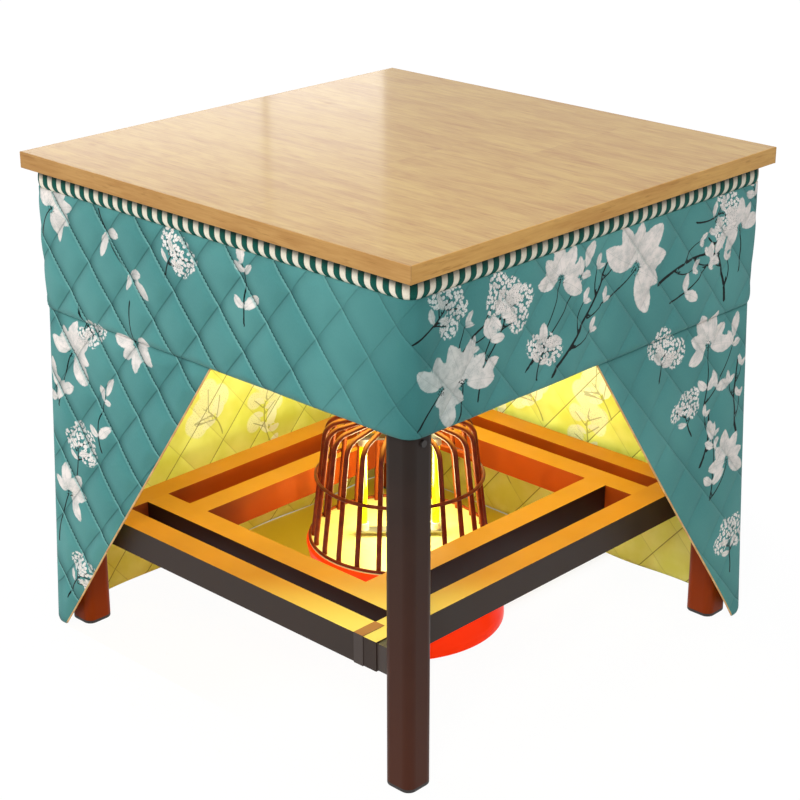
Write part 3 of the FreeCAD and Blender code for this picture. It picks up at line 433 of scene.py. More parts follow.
class Print:
    """The cloth's print: stems that bend as they go, with leaves and seed heads along them."""

    def __init__(self):
        self.leaves = []
        self.stems = []
        self.seed_heads = []
        self.hearts = []

    def sprig(self, side, kind, along, up, heading, length, bend, *measures):
        """Draws a stem and what it carries."""
        place = np.array([along + SIDES.index(side) * SIDE_RUN, up])
        thick = 2.5 if kind == "branch" else 1.4
        points = self.grow(place, math.radians(heading), length, bend, thick)
        carry = {"fan": self.fan, "leafy": self.leafy, "leafy_fan": self.leafy_fan,
                 "seeded": self.seeded, "branch": self.branch}[kind]
        carry(points, *measures)

    def grow(self, place, heading, length, bend, thick):
        """Draws a stem that thins towards its tip, and gives its points and headings."""
        steps = max(4, round(length / 0.012))
        points = [(place, heading)]
        for step in range(steps):
            onward = place + direction_of(heading) * (length / steps)
            self.stems.append((place, onward, thick * (1 - 0.45 * step / steps)))
            place = onward
            heading += math.radians(bend) / steps
            points.append((place, heading))
        return points

    def leaf(self, base, heading, length, width):
        self.leaves.append((base + direction_of(heading) * length / 2, heading, length, width))

    def branch(self, points, twigs, reach=0.050):
        """Thin twigs that end in a pair of leaves."""
        for twig in range(twigs):
            place, way = points[round((0.22 + 0.74 * twig / twigs) * (len(points) - 1))]
            hand = (-1, 1)[twig % 2]
            tips = self.grow(place, way + hand * 0.8, reach * (1 - 0.3 * twig / twigs), -50 * hand, 1.2)
            tip, onward = tips[-1]
            self.leaf(tip, onward + 0.35, 0.024, 0.010)
            self.leaf(tip, onward - 0.7, 0.018, 0.008)

    def leafy(self, points, pairs, size=0.046):
        """Broad leaves on both sides of the stem and one at its tip."""
        for pair in range(pairs):
            share = 0.30 + 0.62 * pair / max(1, pairs - 1)
            place, way = points[round(share * (len(points) - 1))]
            reach = size * (1.05 - 0.35 * share)
            hand = (-1, 1)[pair % 2]
            self.leaf(place, way + hand * 0.82, reach, reach * 0.48)
            self.leaf(place, way - hand * 1.05, reach * 0.82, reach * 0.42)
        self.leaf(*points[-1], size, size * 0.46)

    def fan(self, points, count, size):
        """Broad overlapping leaves that fan out from the stem's tip."""
        spread = 4.4
        place, way = points[-1]
        self.hearts.append((place, size * 0.13))
        for index in range(count):
            turn = way + spread * ((index + 0.5) / count - 0.5)
            reach = size * (1 - 0.10 * ((index * 2) % 3))
            self.leaf(place + 0.10 * size * direction_of(turn), turn, reach, reach * 0.50)

    def leafy_fan(self, points, pairs, *sizes):
        """Leaves along the stem and a fan at its tip. The leaves' size may be left out."""
        *leaf_size, count, size = sizes
        self.leafy(points, pairs, *leaf_size)
        self.fan(points, count, size)

    def seeded(self, points, twigs, size=0.018):
        """Twigs that end in ragged heads of small seeds."""
        for twig in range(twigs):
            place, way = points[round((0.45 + 0.5 * twig / max(1, twigs)) * (len(points) - 1))]
            hand = (-1, 1)[twig % 2]
            tip = place + size * 1.7 * direction_of(way + hand * 0.9)
            self.stems.append((place, tip, 1.0))
            self.seed_heads.append((tip, size * (1 - 0.1 * twig / twigs)))
            self.leaf(place, way - hand * 1.2, size * 1.5, size * 0.6)
        self.seed_heads.append((points[-1][0], size * 1.15))

    def on(self, place):
        """How far each place lies from leaves, stems and seed heads, in millimetres."""
        leaf, vein, stem, stem_side = np.full((4, len(place)), 9.0)
        for centre, heading, length, width in self.leaves:
            away = (place - centre) * 1000
            near = np.abs(away).max(axis=1) < length * 600 + 10
            away = away[near]
            lengthwise = away[:, 0] * math.cos(heading) + away[:, 1] * math.sin(heading)
            across = -away[:, 0] * math.sin(heading) + away[:, 1] * math.cos(heading)
            half_long, half_wide = length * 500, width * 500
            across = across + 1.6 * (lengthwise / half_long) ** 2
            radius = (half_long ** 2 + half_wide ** 2) / (2 * half_wide)
            distance = np.hypot(lengthwise, np.abs(across) + radius - half_wide) - radius
            closer = distance < leaf[near]
            found = np.flatnonzero(near)[closer]
            leaf[found] = distance[closer]
            vein[found] = across[closer]
        for start, end, thick in self.stems:
            run = (end - start) * 1000
            away = (place - start) * 1000
            near = (np.abs(away - run / 2) < np.abs(run / 2) + 10).all(axis=1)
            away = away[near]
            share = np.clip(away @ run / (run @ run), 0, 1)
            distance = np.hypot(*(away - share[:, None] * run).T)
            side = np.sign(run[0] * away[:, 1] - run[1] * away[:, 0])
            closer = distance < stem[near]
            found = np.flatnonzero(near)[closer]
            stem[found] = distance[closer]
            stem_side[found] = (distance * side)[closer] / thick
        return {"leaf": leaf, "vein": vein, "seeds": round_marks(place, self.seed_heads),
                "heart": round_marks(place, self.hearts), "stem": stem, "stem_side": stem_side}


# Each sprig: its kind, where its stem starts along the side and up, its heading in degrees, its
# length and bend, and then the counts and sizes of its leaves, twigs or seed heads. Along runs
# from the left corner to the front corner, and from there to the right corner.
SPRIGS = {
    "front_left": (
        ("fan", -0.372, 0.655, 66, 0.060, -30, 6, 0.046),
        ("leafy", -0.230, 0.724, -66, 0.120, 34, 2, 0.042),
        ("seeded", -0.085, 0.655, 66, 0.060, -34, 3, 0.017),
        ("leafy", 0.085, 0.625, 82, 0.085, 26, 2, 0.036),
        ("fan", -0.160, 0.600, -104, 0.070, 24, 5, 0.044),
        ("seeded", -0.290, 0.560, -70, 0.050, 30, 2, 0.015),
        ("leafy_fan", -0.352, 0.385, 80, 0.100, -24, 1, 0.044, 6, 0.052),
        ("leafy", -0.352, 0.385, 118, 0.040, -20, 1, 0.040),
        ("seeded", -0.322, 0.265, 62, 0.090, 36, 3, 0.017),
        ("fan", -0.368, 0.150, 84, 0.100, -32, 5, 0.046),
        ("seeded", -0.345, 0.060, 66, 0.075, -40, 3, 0.017),
        ("leafy", -0.250, 0.335, 98, 0.100, -38, 2, 0.036)),
    "front_right": (
        ("fan", -0.372, 0.548, 58, 0.060, -22, 6, 0.056),
        ("fan", -0.300, 0.542, 70, 0.055, 26, 6, 0.058),
        ("seeded", -0.380, 0.668, 28, 0.085, 22, 3, 0.018),
        ("leafy", -0.262, 0.560, 84, 0.130, -40, 3, 0.042),
        ("seeded", -0.245, 0.610, 48, 0.095, 30, 4, 0.021),
        ("leafy", -0.165, 0.575, 34, 0.170, 22, 2, 0.042),
        ("fan", -0.165, 0.575, 44, 0.135, 30, 6, 0.052),
        ("fan", -0.005, 0.632, 8, 0.085, 34, 7, 0.074),
        ("seeded", -0.140, 0.555, 92, 0.050, -60, 3, 0.017),
        ("seeded", 0.215, 0.700, -10, 0.090, 34, 3, 0.018),
        ("leafy", 0.160, 0.590, 8, 0.120, 40, 2, 0.040),
        ("fan", 0.330, 0.600, 74, 0.070, 40, 6, 0.048),
        ("leafy", 0.368, 0.705, 100, 0.020, 20, 1, 0.034),
        ("seeded", 0.145, 0.470, 78, 0.050, -30, 4, 0.020),
        ("leafy_fan", 0.262, 0.400, 76, 0.095, 20, 1, 0.038, 6, 0.056),
        ("seeded", 0.230, 0.360, 122, 0.060, -40, 3, 0.016),
        ("leafy", 0.262, 0.400, 30, 0.120, 46, 2, 0.042),
        ("fan", 0.285, 0.235, 34, 0.070, 44, 6, 0.050),
        ("leafy", 0.285, 0.235, 78, 0.100, 26, 2, 0.038),
        ("seeded", 0.345, 0.090, 88, 0.080, 26, 3, 0.018),
        ("branch", -0.330, 0.588, 62, 0.135, -52, 4),
        ("branch", -0.110, 0.552, 36, 0.190, 30, 5),
        ("branch", 0.130, 0.625, 24, 0.150, -40, 4),
        ("branch", 0.300, 0.560, 98, 0.120, 36, 3, 0.040),
        ("branch", 0.352, 0.330, 104, 0.120, -30, 3, 0.036),
        ("branch", 0.255, 0.300, 58, 0.090, 40, 2, 0.034))}


def back_sprigs(lean):
    """The same kinds of sprig over a back side's whole height."""
    rows = [("leafy_fan", -0.300 * lean, 0.610, 60, 0.080, -30, 1, 6, 0.052),
            ("leafy", -0.115, 0.585, 70 - 20 * lean, 0.12, 36, 3, 0.042),
            ("seeded", 0.055, 0.600, 62, 0.10, -44, 4),
            ("fan", 0.215, 0.565, 84, 0.10, 36 * lean, 6, 0.056),
            ("leafy", 0.330, 0.680, 250, 0.10, 30, 2, 0.040),
            ("leafy", -0.260, 0.330, 72, 0.15, 36 * lean, 3, 0.046),
            ("leafy_fan", 0.030 * lean, 0.360, 96, 0.12, -36, 1, 7, 0.060),
            ("seeded", 0.215, 0.345, 70, 0.12, 40, 4, 0.020),
            ("leafy", 0.310, 0.180, 100, 0.14, -44 * lean, 3, 0.044),
            ("seeded", -0.090, 0.150, 60, 0.12, 50, 4, 0.019),
            ("leafy_fan", -0.325, 0.085, 76, 0.10, -30, 1, 6, 0.052),
            ("leafy", 0.105 * lean, 0.070, 58, 0.13, 46, 3, 0.044)]
    for number in range(5):
        place = -0.34 + 0.15 * number
        rows.append(("fan", place, 0.395 + 0.030 * (number % 3), 84, 0.05, 30, 6, 0.060))
        rows.append(("seeded", place + 0.07, 0.215 + 0.045 * (number % 2), 70, 0.07, -40, 4, 0.024))
    return rows


def lay_out_print():
    """The sprigs as listed: few on the front left, many on the front right."""
    design = Print()
    for side, rows in {**SPRIGS, "back_right": back_sprigs(1), "back_left": back_sprigs(-1)}.items():
        for row in rows:
            design.sprig(side, *row)
    return design


def on_its_side(along):
    """Which side of the table a place on the cloth is on, and how far from its middle and its end."""
    side = np.floor(along / SIDE_RUN + 0.5)
    local = along - side * SIDE_RUN
    return side, local, SIDE_RUN / 2 - np.abs(local)


def round_the_table(along, radius):
    """Where a point of the cloth comes to when it is bent round the table.

    The radius is its distance from the corners' centres, so it also says how far out it is.
    """
    side, local, _ = on_its_side(along)
    bend = np.sign(local) * np.clip((np.abs(local) - STRAIGHT) / CORNER, 0, None)
    x = np.clip(local, -STRAIGHT, STRAIGHT) + radius * np.sin(bend)
    y = -STRAIGHT - radius * np.cos(bend)
    cosine, sine = np.cos(side * math.pi / 2), np.sin(side * math.pi / 2)
    return x * cosine - y * sine, x * sine + y * cosine


def swell(along, up):
    """How far the padding stands up between the stitched lines, from 0 on a line to 1."""
    first, second = stitched_lines(along, up)
    first = first - np.floor(first)
    second = 1 - 2 * np.abs(second - np.round(second))
    hang = np.where(first < CREST, 1 - first / CREST, (first - CREST) / (1 - CREST))
    taut = rise(along - 0.05, 0.33) * (1 - rise(along - 1.13, 0.05))
    return (1 - hang ** 2) * (1 - second ** 3) * (1 - 0.62 * taut)


def flat_cloth(start, end, columns, low, high, rows, cut=None):
    """A flat slab on the lattice's cells: along, up, and from 0 on its inside to 1 outside."""
    bm = bmesh.new()
    bmesh.ops.create_grid(bm, x_segments=columns, y_segments=rows, size=0.5)
    bmesh.ops.scale(bm, vec=(end - start, high - low, 1), verts=bm.verts)
    bmesh.ops.translate(bm, vec=((start + end) / 2, (low + high) / 2, 0), verts=bm.verts)
    if cut is not None:
        point, outward = cut
        bmesh.ops.bisect_plane(bm, geom=bm.verts[:] + bm.edges[:] + bm.faces[:], dist=1e-6,
                               plane_co=point, plane_no=outward, clear_outer=True)
    grown = bmesh.ops.extrude_face_region(bm, geom=bm.faces[:])["geom"]
    outer = [item for item in grown if isinstance(item, bmesh.types.BMVert)]
    bmesh.ops.translate(bm, vec=(0, 0, 1), verts=outer)
    bmesh.ops.recalc_face_normals(bm, faces=bm.faces)
    for face in bm.faces:
        heights = [vert.co.z for vert in face.verts]
        face.material_index = 0 if min(heights) > 0.5 else 1 if max(heights) < 0.5 else 2
        face.smooth = True
    return bm


def add_object(name, data):
    item = bpy.data.objects.new(name, data)
    bpy.context.scene.collection.objects.link(item)
    return item


def object_of(name, bm):
    """Makes an object of a bmesh."""
    mesh = bpy.data.meshes.new(name)
    bm.to_mesh(mesh)
    bm.free()
    return add_object(name, mesh)


def finish_piece(name, bm, body, materials):
    """Makes a piece of a bmesh and lets it ride on its body."""
    piece = object_of(name, bm)
    for material in materials:
        piece.data.materials.append(material)
    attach(piece, body)
    return piece


def points_of(mesh):
    flat = np.zeros(len(mesh.vertices) * 3)
    mesh.vertices.foreach_get("co", flat)
    return flat.reshape(-1, 3)


def add_flat_map(mesh, along, up):
    """Keeps each point's place on the flat cloth, for its pattern."""
    corners = np.zeros(len(mesh.loops), int)
    mesh.loops.foreach_get("vertex_index", corners)
    unfolded = mesh.uv_layers.new(name="flat")
    unfolded.data.foreach_set("uv", np.column_stack((along, up))[corners].ravel())


def add_print(mesh, design):
    for name, distances in design.on(points_of(mesh)[:, :2]).items():
        layer = mesh.attributes.new(name, "FLOAT", "POINT")
        layer.data.foreach_set("value", distances.astype(np.float32))


def bend_mesh(mesh, along, radius, height, capped=False):
    """Moves a mesh's points round the table, joins its meeting edges and turns its faces outward."""
    x, y = round_the_table(along, radius)
    mesh.vertices.foreach_set("co", np.column_stack((x, y, height)).ravel())
    bm = bmesh.new()
    bm.from_mesh(mesh)
    bmesh.ops.remove_doubles(bm, verts=bm.verts, dist=1e-5)
    if capped:
        bmesh.ops.holes_fill(bm, edges=[edge for edge in bm.edges if edge.is_boundary], sides=0)
        for face in bm.faces:
            face.smooth = len(face.verts) <= 4
    bmesh.ops.recalc_face_normals(bm, faces=bm.faces)
    bm.to_mesh(mesh)
    bm.free()
    mesh.update()


def bend_cloth(piece, out_of, design=None):
    """Bends a flat slab round the table. out_of gives each point's radius and height."""
    mesh = piece.data
    flat = points_of(mesh)
    add_flat_map(mesh, flat[:, 0], flat[:, 1])
    if design is not None:
        add_print(mesh, design)
    bend_mesh(mesh, flat[:, 0], *out_of(*flat.T))


def rise(distance, reach):
    """0 at an edge and 1 beyond its reach, smoothly."""
    share = np.clip(distance / reach, 0, 1)
    return share * share * (3 - 2 * share)


def hem_fold(distance):
    """How much of its thickness the cloth has this far from a hem."""
    return 0.35 + 0.65 * np.clip(distance / 0.004, 0, 1) ** 0.5


def valance_shape(along, up, outside):
    _, _, to_corner = on_its_side(along)
    corner = np.exp(-(to_corner / 0.020) ** 2)
    low = 1 - rise(up - HEM, 0.15)
    pad = swell(along, up) * rise(up - HEM, 0.014) * rise(VALANCE_TOP - up, 0.016)
    pad = pad * (0.30 + 0.70 * rise(to_corner, 0.045))
    sag = 0.0012 * low * np.sin(along * 2 * math.pi / 0.31 + 0.6) * (1 - corner)
    fold = hem_fold(up - HEM)
    outer = VALANCE_OUTSIDE + 0.0036 * fold + VALANCE_PAD * pad - 0.0026 * corner * (0.35 + 0.65 * low)
    inner = VALANCE_INSIDE + 0.0008 * (1 - fold)
    return np.where(outside > 0.5, outer + np.abs(sag), inner), up


def header_shape(along, up, outside):
    return np.where(outside > 0.5, HEADER_OUTSIDE, HEADER_INSIDE), up


def skirt_middle(local, up, side):
    """The radius of the skirt's middle layer, which flares downwards and hangs in folds."""
    drop = np.clip((SKIRT_TOP - up) / (SKIRT_TOP - SKIRT_FOOT), 0, 1)
    folds = FOLD_DEEP * drop ** 1.5 * (1 + np.sin(local * 2 * math.pi / FOLD_WIDE + side)) \
        * rise(SIDE_RUN / 2 - np.abs(local), 0.05)
    return SKIRT_MIDDLE + (SKIRT_FLARE * drop + SKIRT_SPREAD * drop ** 2) + folds


def skirt_shape(way):
    """A panel's shape. way is the side that a drawn-back edge leans to, or 0."""
    def shape(along, up, outside):
        side, local, to_corner = on_its_side(along)
        to_edge = np.full(len(along), 1.0)
        if way:
            to_edge = -(way * HEM * local - OPENING_FOOT * (up - HEM)) / math.hypot(HEM, OPENING_FOOT)
        pad = swell(along, up) * rise(SKIRT_TOP - up, 0.022) * rise(up - SKIRT_FOOT, 0.016)
        pad = pad * rise(to_edge, 0.020) * rise(to_corner, 0.055)
        fold = hem_fold(up - SKIRT_FOOT) * (0.4 + 0.6 * rise(to_edge, 0.010))
        clear_of_legs = 1 - rise(np.abs(local) - 0.290, 0.025)
        middle = skirt_middle(local, up, side)
        outer = middle + CLOTH_THICK / 2 * fold + SKIRT_PAD * pad
        inner = middle - CLOTH_THICK / 2 * fold - SKIRT_PAD_INSIDE * pad * clear_of_legs
        height = up - (1 - rise(up - SKIRT_FOOT, 0.10)) \
            * (0.0018 - 0.0008 * np.sin(local * 2 * math.pi / 0.19 + 1.7 * side))
        return np.where(outside > 0.5, outer, inner), np.minimum(height, SKIRT_TOP)
    return shape


def diagonal_cut(side, way, inset):
    """The drawn-back edge on the flat cloth, as a point on it and its outward direction."""
    outward = Vector((way * HEM, -OPENING_FOOT, 0)).normalized()
    point = Vector((SIDES.index(side) * SIDE_RUN, HEM, 0)) - inset * outward
    return point, outward


def unit_grid(columns, rows):
    """A flat grid from 0 to 1 each way."""
    bm = bmesh.new()
    bmesh.ops.create_grid(bm, x_segments=columns, y_segments=rows, size=0.5)
    bmesh.ops.translate(bm, vec=(0.5, 0.5, 0), verts=bm.verts)
    for face in bm.faces:
        face.smooth = True
    return bm


def make_skirt(side, design, materials):
    way = {"front_left": 1, "front_right": -1}.get(side, 0)
    middle = SIDES.index(side) * SIDE_RUN
    half = SIDE_RUN / 2 - 0.0004
    rows = round((SKIRT_TOP - SKIRT_FOOT) / CELL_TALL)
    cut = diagonal_cut(side, way, 0.0016) if way else None
    bm = flat_cloth(middle - half, middle + half, 8 * CELLS, SKIRT_FOOT, SKIRT_TOP, rows, cut)
    panel = finish_piece(f"skirt_{side}_quilted", bm, f"panel_{side}", materials)
    bend_cloth(panel, skirt_shape(way), design)
    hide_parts(f"skirt_{side}")
    if way:
        make_binding(side, way)
        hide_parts(f"binding_{side}")


def make_binding(side, way):
    """A narrow folded tape over the drawn-back edge."""
    bm = unit_grid(110, 14)
    bmesh.ops.scale(bm, vec=(1, 2 * math.pi, 1), verts=bm.verts)
    piece = finish_piece(f"binding_{side}_tape", bm, f"panel_{side}",
                         [cloth_edge(f"tape_{side}", (214, 160, 96), (232, 192, 132))])
    share, turn, _ = points_of(piece.data).T
    point, outward = diagonal_cut(side, way, 0.0012)
    top, foot = HEM - 0.0022, SKIRT_FOOT + 0.0012
    down = top + (foot - top) * share
    run = point.x - way * OPENING_FOOT * (HEM - down) / HEM
    along = run + TAPE_WIDE * np.cos(turn) * outward.x
    up = down + TAPE_WIDE * np.cos(turn) * outward.y
    number = SIDES.index(side)
    middle = skirt_middle(along - number * SIDE_RUN, down, number)
    radius = middle + TAPE_THICK * np.sin(turn)
    bend_mesh(piece.data, along, radius, np.maximum(up, TAPE_WIDE), capped=True)
    return piece


def closed_band(name, cells, low, high, rows, materials):
    """A band of flat cloth that is to close once round the table."""
    start = -SIDE_RUN / 2 - SIDE_RUN
    bm = flat_cloth(start, start + 4 * SIDE_RUN, cells * CELLS, low, high, rows)
    open_ends = [face for face in bm.faces if face.material_index == 2
                 and abs(face.calc_center_median().x - start - 2 * SIDE_RUN) > 1.999 * SIDE_RUN]
    bmesh.ops.delete(bm, geom=open_ends, context="FACES_ONLY")
    return finish_piece(name, bm, "table", materials)


def make_valance(design, materials):
    rows = round((VALANCE_TOP - HEM) / CELL_TALL)
    piece = closed_band("valance_quilted", 32, HEM, VALANCE_TOP, rows, materials)
    bend_cloth(piece, valance_shape, design)
    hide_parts("cover_valance")


def make_header(materials):
    """The fixed upper part of the skirt, behind the valance."""
    low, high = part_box("skirt_header")[0].z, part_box("skirt_header")[1].z
    piece = closed_band("skirt_header_cloth", 16, low, high, 12, materials)
    bend_cloth(piece, header_shape)
    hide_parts("skirt_header")


def make_top_sheet(materials):
    """The cover's top layer, under the tabletop."""
    low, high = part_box("cover_top_sheet")
    half = high.x
    bm = flat_cloth(-half, half, 120, -half, half, 120)
    straight = half - SHEET_CORNER
    for vert in bm.verts:
        outside = vert.co.z > 0.5
        over = Vector((max(0, abs(vert.co.x) - straight), max(0, abs(vert.co.y) - straight)))
        if over.length > SHEET_CORNER and min(over) > 0:
            over = over * (SHEET_CORNER / over.length)
            vert.co.x = math.copysign(straight + over.x, vert.co.x)
            vert.co.y = math.copysign(straight + over.y, vert.co.y)
        first = vert.co.x / DIAMOND_WIDE + vert.co.y / DIAMOND_TALL
        second = vert.co.x / DIAMOND_WIDE - vert.co.y / DIAMOND_TALL
        sunk = max(1 - 12 * abs(first - round(first)), 1 - 12 * abs(second - round(second)), 0)
        vert.co.z = high.z - 0.0009 * sunk if outside else low.z + 0.0005 * sunk
    piece = finish_piece("top_sheet_quilted", bm, "table", materials)
    add_flat_map(piece.data, *points_of(piece.data)[:, :2].T)
    add_print(piece.data, Print())
    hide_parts("cover_top_sheet")


def make_piping():
    """The striped padded roll. Its bands lean to the nearer front or back corner underneath."""
    bm = unit_grid(PIPING_PAIRS * 10, 24)
    piece = finish_piece("piping_roll", bm, "table", [striped_piping()])
    flat = points_of(piece.data)
    turns, over = flat[:, 0] * PIPING_PAIRS, flat[:, 1]
    along = flat[:, 0] * 4 * SIDE_RUN - SIDE_RUN * 1.5
    side, _, to_corner = on_its_side(along)
    lean = np.where(side % 2 == 0, 1, -1) * rise(to_corner, 0.03)
    slanted = turns - 0.85 * np.clip(1 - over / 0.36, 0, 1) ** 2.2 * lean
    add_flat_map(piece.data, slanted, over)
    band = 1 - 2 * np.abs(2 * slanted - np.floor(2 * slanted) - 0.5)
    bow = np.clip(over / PIPING_FRONT, 0, 1)
    angle = (bow - 0.5) * math.pi
    back = np.clip((over - PIPING_FRONT) / (1 - PIPING_FRONT), 0, 1)
    tall = (PIPING_HIGH - PIPING_LOW) / 2
    bulge = 0.0008 * band ** 0.5 * np.cos(angle) * (over < PIPING_FRONT)
    radius = PIPING_BACK + PIPING_BULGE * np.cos(angle) ** 0.7 * (over <= PIPING_FRONT) + bulge
    height = (PIPING_HIGH + PIPING_LOW) / 2 \
        + np.where(over <= PIPING_FRONT, tall * np.sin(angle), tall * (1 - 2 * back))
    bend_mesh(piece.data, along, radius, height)
    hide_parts("cover_piping")


# Wood

def wood(name, light, dark, edge, gloss, board_length=0.74, turned=False):
    """Glued boards along the table's X, or its Y where turned, with streaks of their own."""
    finish = Finish(name, Coat_Roughness=0.09, Coat_IOR=1.45, Specular_IOR_Level=0.2)
    x, y, z = finish.place()
    if turned:
        x, y = y, x
    stave_width = 0.205
    level = y + z * 0.9

    def grain(by_x, by_level, by_z, detail, rough=0.5, start=0):
        place = finish.joined(x * by_x + start, level * by_level, z * by_z)
        return finish.noise(place, 1, detail, rough)

    row = (level / stave_width).whole()
    shift = finish.random(finish.joined(row, 3, 1))
    length = (x + 2 + shift * 1.7) / board_length
    tone = finish.random(finish.joined(row, length.whole(), 7))
    offset = tone * 9 + row * 0.37
    figure = finish.noise(finish.joined(x * 0.9 + offset, level * 8, z * 6), 2.4, 4, 0.6)
    rings = (figure * 18 + level * 46).wave() * 0.5 + 0.5
    streaks = grain(8, 38, 20, 3, 0.60, offset)
    threads = grain(15, 190, 80, 4, 0.68).eased(0.36, 0.66)
    fibres = grain(22, 420, 160, 3, 0.6)
    flecks = grain(30, 230, 90, 3).eased(0.58, 0.74)
    knots = grain(5, 16, 8, 3, 0.7, offset).eased(0.62, 0.8)
    share = (tone * 0.12 - 0.12 + rings * 0.10 + streaks.eased(0.38, 0.68) * 0.40
             + threads * 0.36 + fibres.eased(0.25, 0.8) * 0.20).kept()
    colour = finish.between(share, light, dark)
    colour = finish.between(flecks * 0.42 + knots * 0.34, colour, edge)
    joint = ((level / stave_width).to_line() * stave_width < 0.0005).most(
        (length.to_line() * board_length) < 0.0004)
    colour = finish.between(joint * 0.30, colour, edge)
    height = fibres * 0.5 - flecks * 0.5 - joint * 0.6
    return finish.set(Base_Color=colour, Roughness=0.42 + fibres * 0.16,
                      Coat_Weight=gloss - flecks * 0.15, Normal=finish.bump(height, 0.06, 0.0005))


# Metal, plastic and the heater's own finishes

def painted_steel(name, colour, lit_side, lit_top, glow=None):
    """Dark paint, with the heater's warm light painted on the faces turned towards it and on the tops,
    and a painted glow towards the front corner.
    """
    finish = Finish(name, Coat_Weight=0.05, Coat_Roughness=0.3, Specular_IOR_Level=0.2)
    inward, upward, _ = towards_the_heater(finish)
    x, y, _ = finish.place()
    mottle = finish.cloud(22, 3)
    base = finish.between(mottle * 0.35, colour, raised(colour, 14))
    cloud = finish.cloud(7)
    # Painted heater light on the faces turned towards the table's middle.
    base = finish.between(inward.eased(0.25, 0.95), base,
                          finish.between(cloud, lit_side, dimmed(lit_side, 0.84)))
    # Painted heater light on the tops, and a painted glow near the front corner.
    top = finish.between(cloud, lit_top, dimmed(lit_top, 0.93))
    if glow is not None:
        top = finish.between((x - y).eased(0.38, 0.66) * 0.95, top, glow)
    base = finish.between(upward.eased(0.5, 0.95), base, top)
    return finish.set(Base_Color=base, Roughness=0.45 + mottle * 0.10,
                      Normal=fine_grain(finish, 700, 0.1))


def leg_paint():
    finish = Finish("dark_brown_leg_paint", Coat_Weight=0.02, Coat_Roughness=0.25,
                    Specular_IOR_Level=0.12)
    inward, _, z = towards_the_heater(finish)
    x, y, _ = finish.place()
    mottle = finish.cloud(18, 3)
    base = finish.between(mottle * 0.5, (42, 33, 29), (54, 43, 38))
    # Painted warm light: browner towards the floor.
    base = finish.between(z.near(0.5) * 0.62, base, (92, 42, 22))
    # Painted heater light: orange on faces turned to the table's middle and over the other three legs,
    # stronger low down.
    heater_light = inward.eased(0.1, 0.8).most(1 - (x - y).eased(0.3, 0.5)) * (1 - (z / 0.62).kept() * 0.5)
    base = finish.between(heater_light, base, (138, 51, 4))
    return finish.set(Base_Color=base, Roughness=0.40 + mottle * 0.1,
                      Normal=fine_grain(finish, 650, 0.1))


def moulded(name, colour, roughness=0.5):
    finish = Finish(name)
    speck = finish.noise(finish.point(), 130).eased(0.35, 0.7)
    return finish.set(Base_Color=finish.between(speck * 0.5, colour, raised(colour, 12)),
                      Roughness=roughness + speck * 0.08, Normal=fine_grain(finish, 1500, 0.2))


def bright_steel(name, colour, roughness=0.3):
    finish = Finish(name, Metallic=1.0)
    x, y, z = finish.place()
    brushed = finish.noise(finish.joined(x * 30, y * 30, z * 600), 1, 3)
    return finish.set(Base_Color=finish.between(brushed.eased(0.3, 0.7), colour, raised(colour, 20)),
                      Roughness=roughness + brushed * 0.12, Normal=finish.bump(brushed, 0.08, 0.0004))


def cage_copper():
    """Copper-brown wires, with the tubes' light painted orange on their inward faces and golden on the
    dome's top.
    """
    finish = Finish("copper_brown_wire", Metallic=0.06, Coat_Weight=0.04, Coat_Roughness=0.25,
                    Specular_IOR_Level=0.15)
    inward, upward, z = towards_the_heater(finish)
    mottle = finish.cloud(60, 3)
    base = finish.between(mottle, (104, 36, 20), (134, 52, 28))
    # Painted light: orange on the inward faces and golden on the dome's top.
    base = finish.between(inward.eased(0.2, 0.9) * 0.8, base, (150, 66, 18))
    base = finish.between(upward.eased(0.3, 0.95) * z.eased(0.28, 0.34) * 0.8, base, (226, 140, 66))
    return finish.set(Base_Color=base, Roughness=0.30 + mottle * 0.12,
                      Normal=fine_grain(finish, 900, 0.1))


def red_enamel():
    # Painted glow: the shell emits light of its own colour, though it is no lamp.
    finish = Finish("red_orange_enamel", Coat_Weight=0.06, Coat_Roughness=0.08,
                    Specular_IOR_Level=0.08, Emission_Strength=0.5)
    _, _, z = finish.place()
    cloud = finish.cloud(9)
    base = finish.between(cloud, (240, 34, 0), (250, 50, 2))
    # Lighter near its top edge.
    base = finish.between(z.eased(0.120, 0.141) * 0.3, base, (255, 80, 18))
    return finish.set(Base_Color=base, Emission_Color=base,
                      Roughness=0.30 + cloud * 0.06, Normal=fine_grain(finish, 240, 0.06))


def reflector():
    finish = Finish("reflector_plate", Metallic=0.15)
    x, y, _ = finish.place()
    reach = (x * x + y * y).root()
    rings = (reach * (2 * math.pi / 0.012)).wave() * 0.5 + 0.5
    stain = finish.noise(finish.point(), 16, 3).eased(0.5, 0.7)
    colour = finish.between(rings * 0.2, (244, 232, 150), (250, 242, 176))
    return finish.set(Base_Color=finish.between(stain * 0.3, colour, (206, 180, 70)),
                      Roughness=0.38 + rings * 0.1, Normal=finish.bump(rings, 0.05, 0.0004))


def glowing_quartz():
    """A heating tube: a bright coil inside milky quartz, dark at its ends."""
    finish = Finish("glowing_quartz", Roughness=0.15, Emission_Strength=1.5,
                    Coat_Weight=0.6, Coat_Roughness=0.05)
    _, _, z = finish.place()
    coil = ((z / 0.0046).part() - 0.5).size() * 2
    ends = z.eased(0.158, 0.176) * (1 - z.eased(0.290, 0.306))
    heat = (coil * 0.35 + 0.65) * ends
    return finish.set(Base_Color=finish.between(ends, (206, 170, 60), (250, 214, 0)),
                      Emission_Color=finish.between(heat, (110, 60, 0), (255, 244, 6)))


def ceramic():
    finish = Finish("white_ceramic", Coat_Weight=0.3, Coat_Roughness=0.1)
    speck = finish.noise(finish.point(), 90).eased(0.4, 0.7)
    return finish.set(Base_Color=finish.between(speck, (232, 226, 210), (246, 242, 230)),
                      Roughness=0.35 + speck * 0.1, Normal=fine_grain(finish, 500, 0.1))


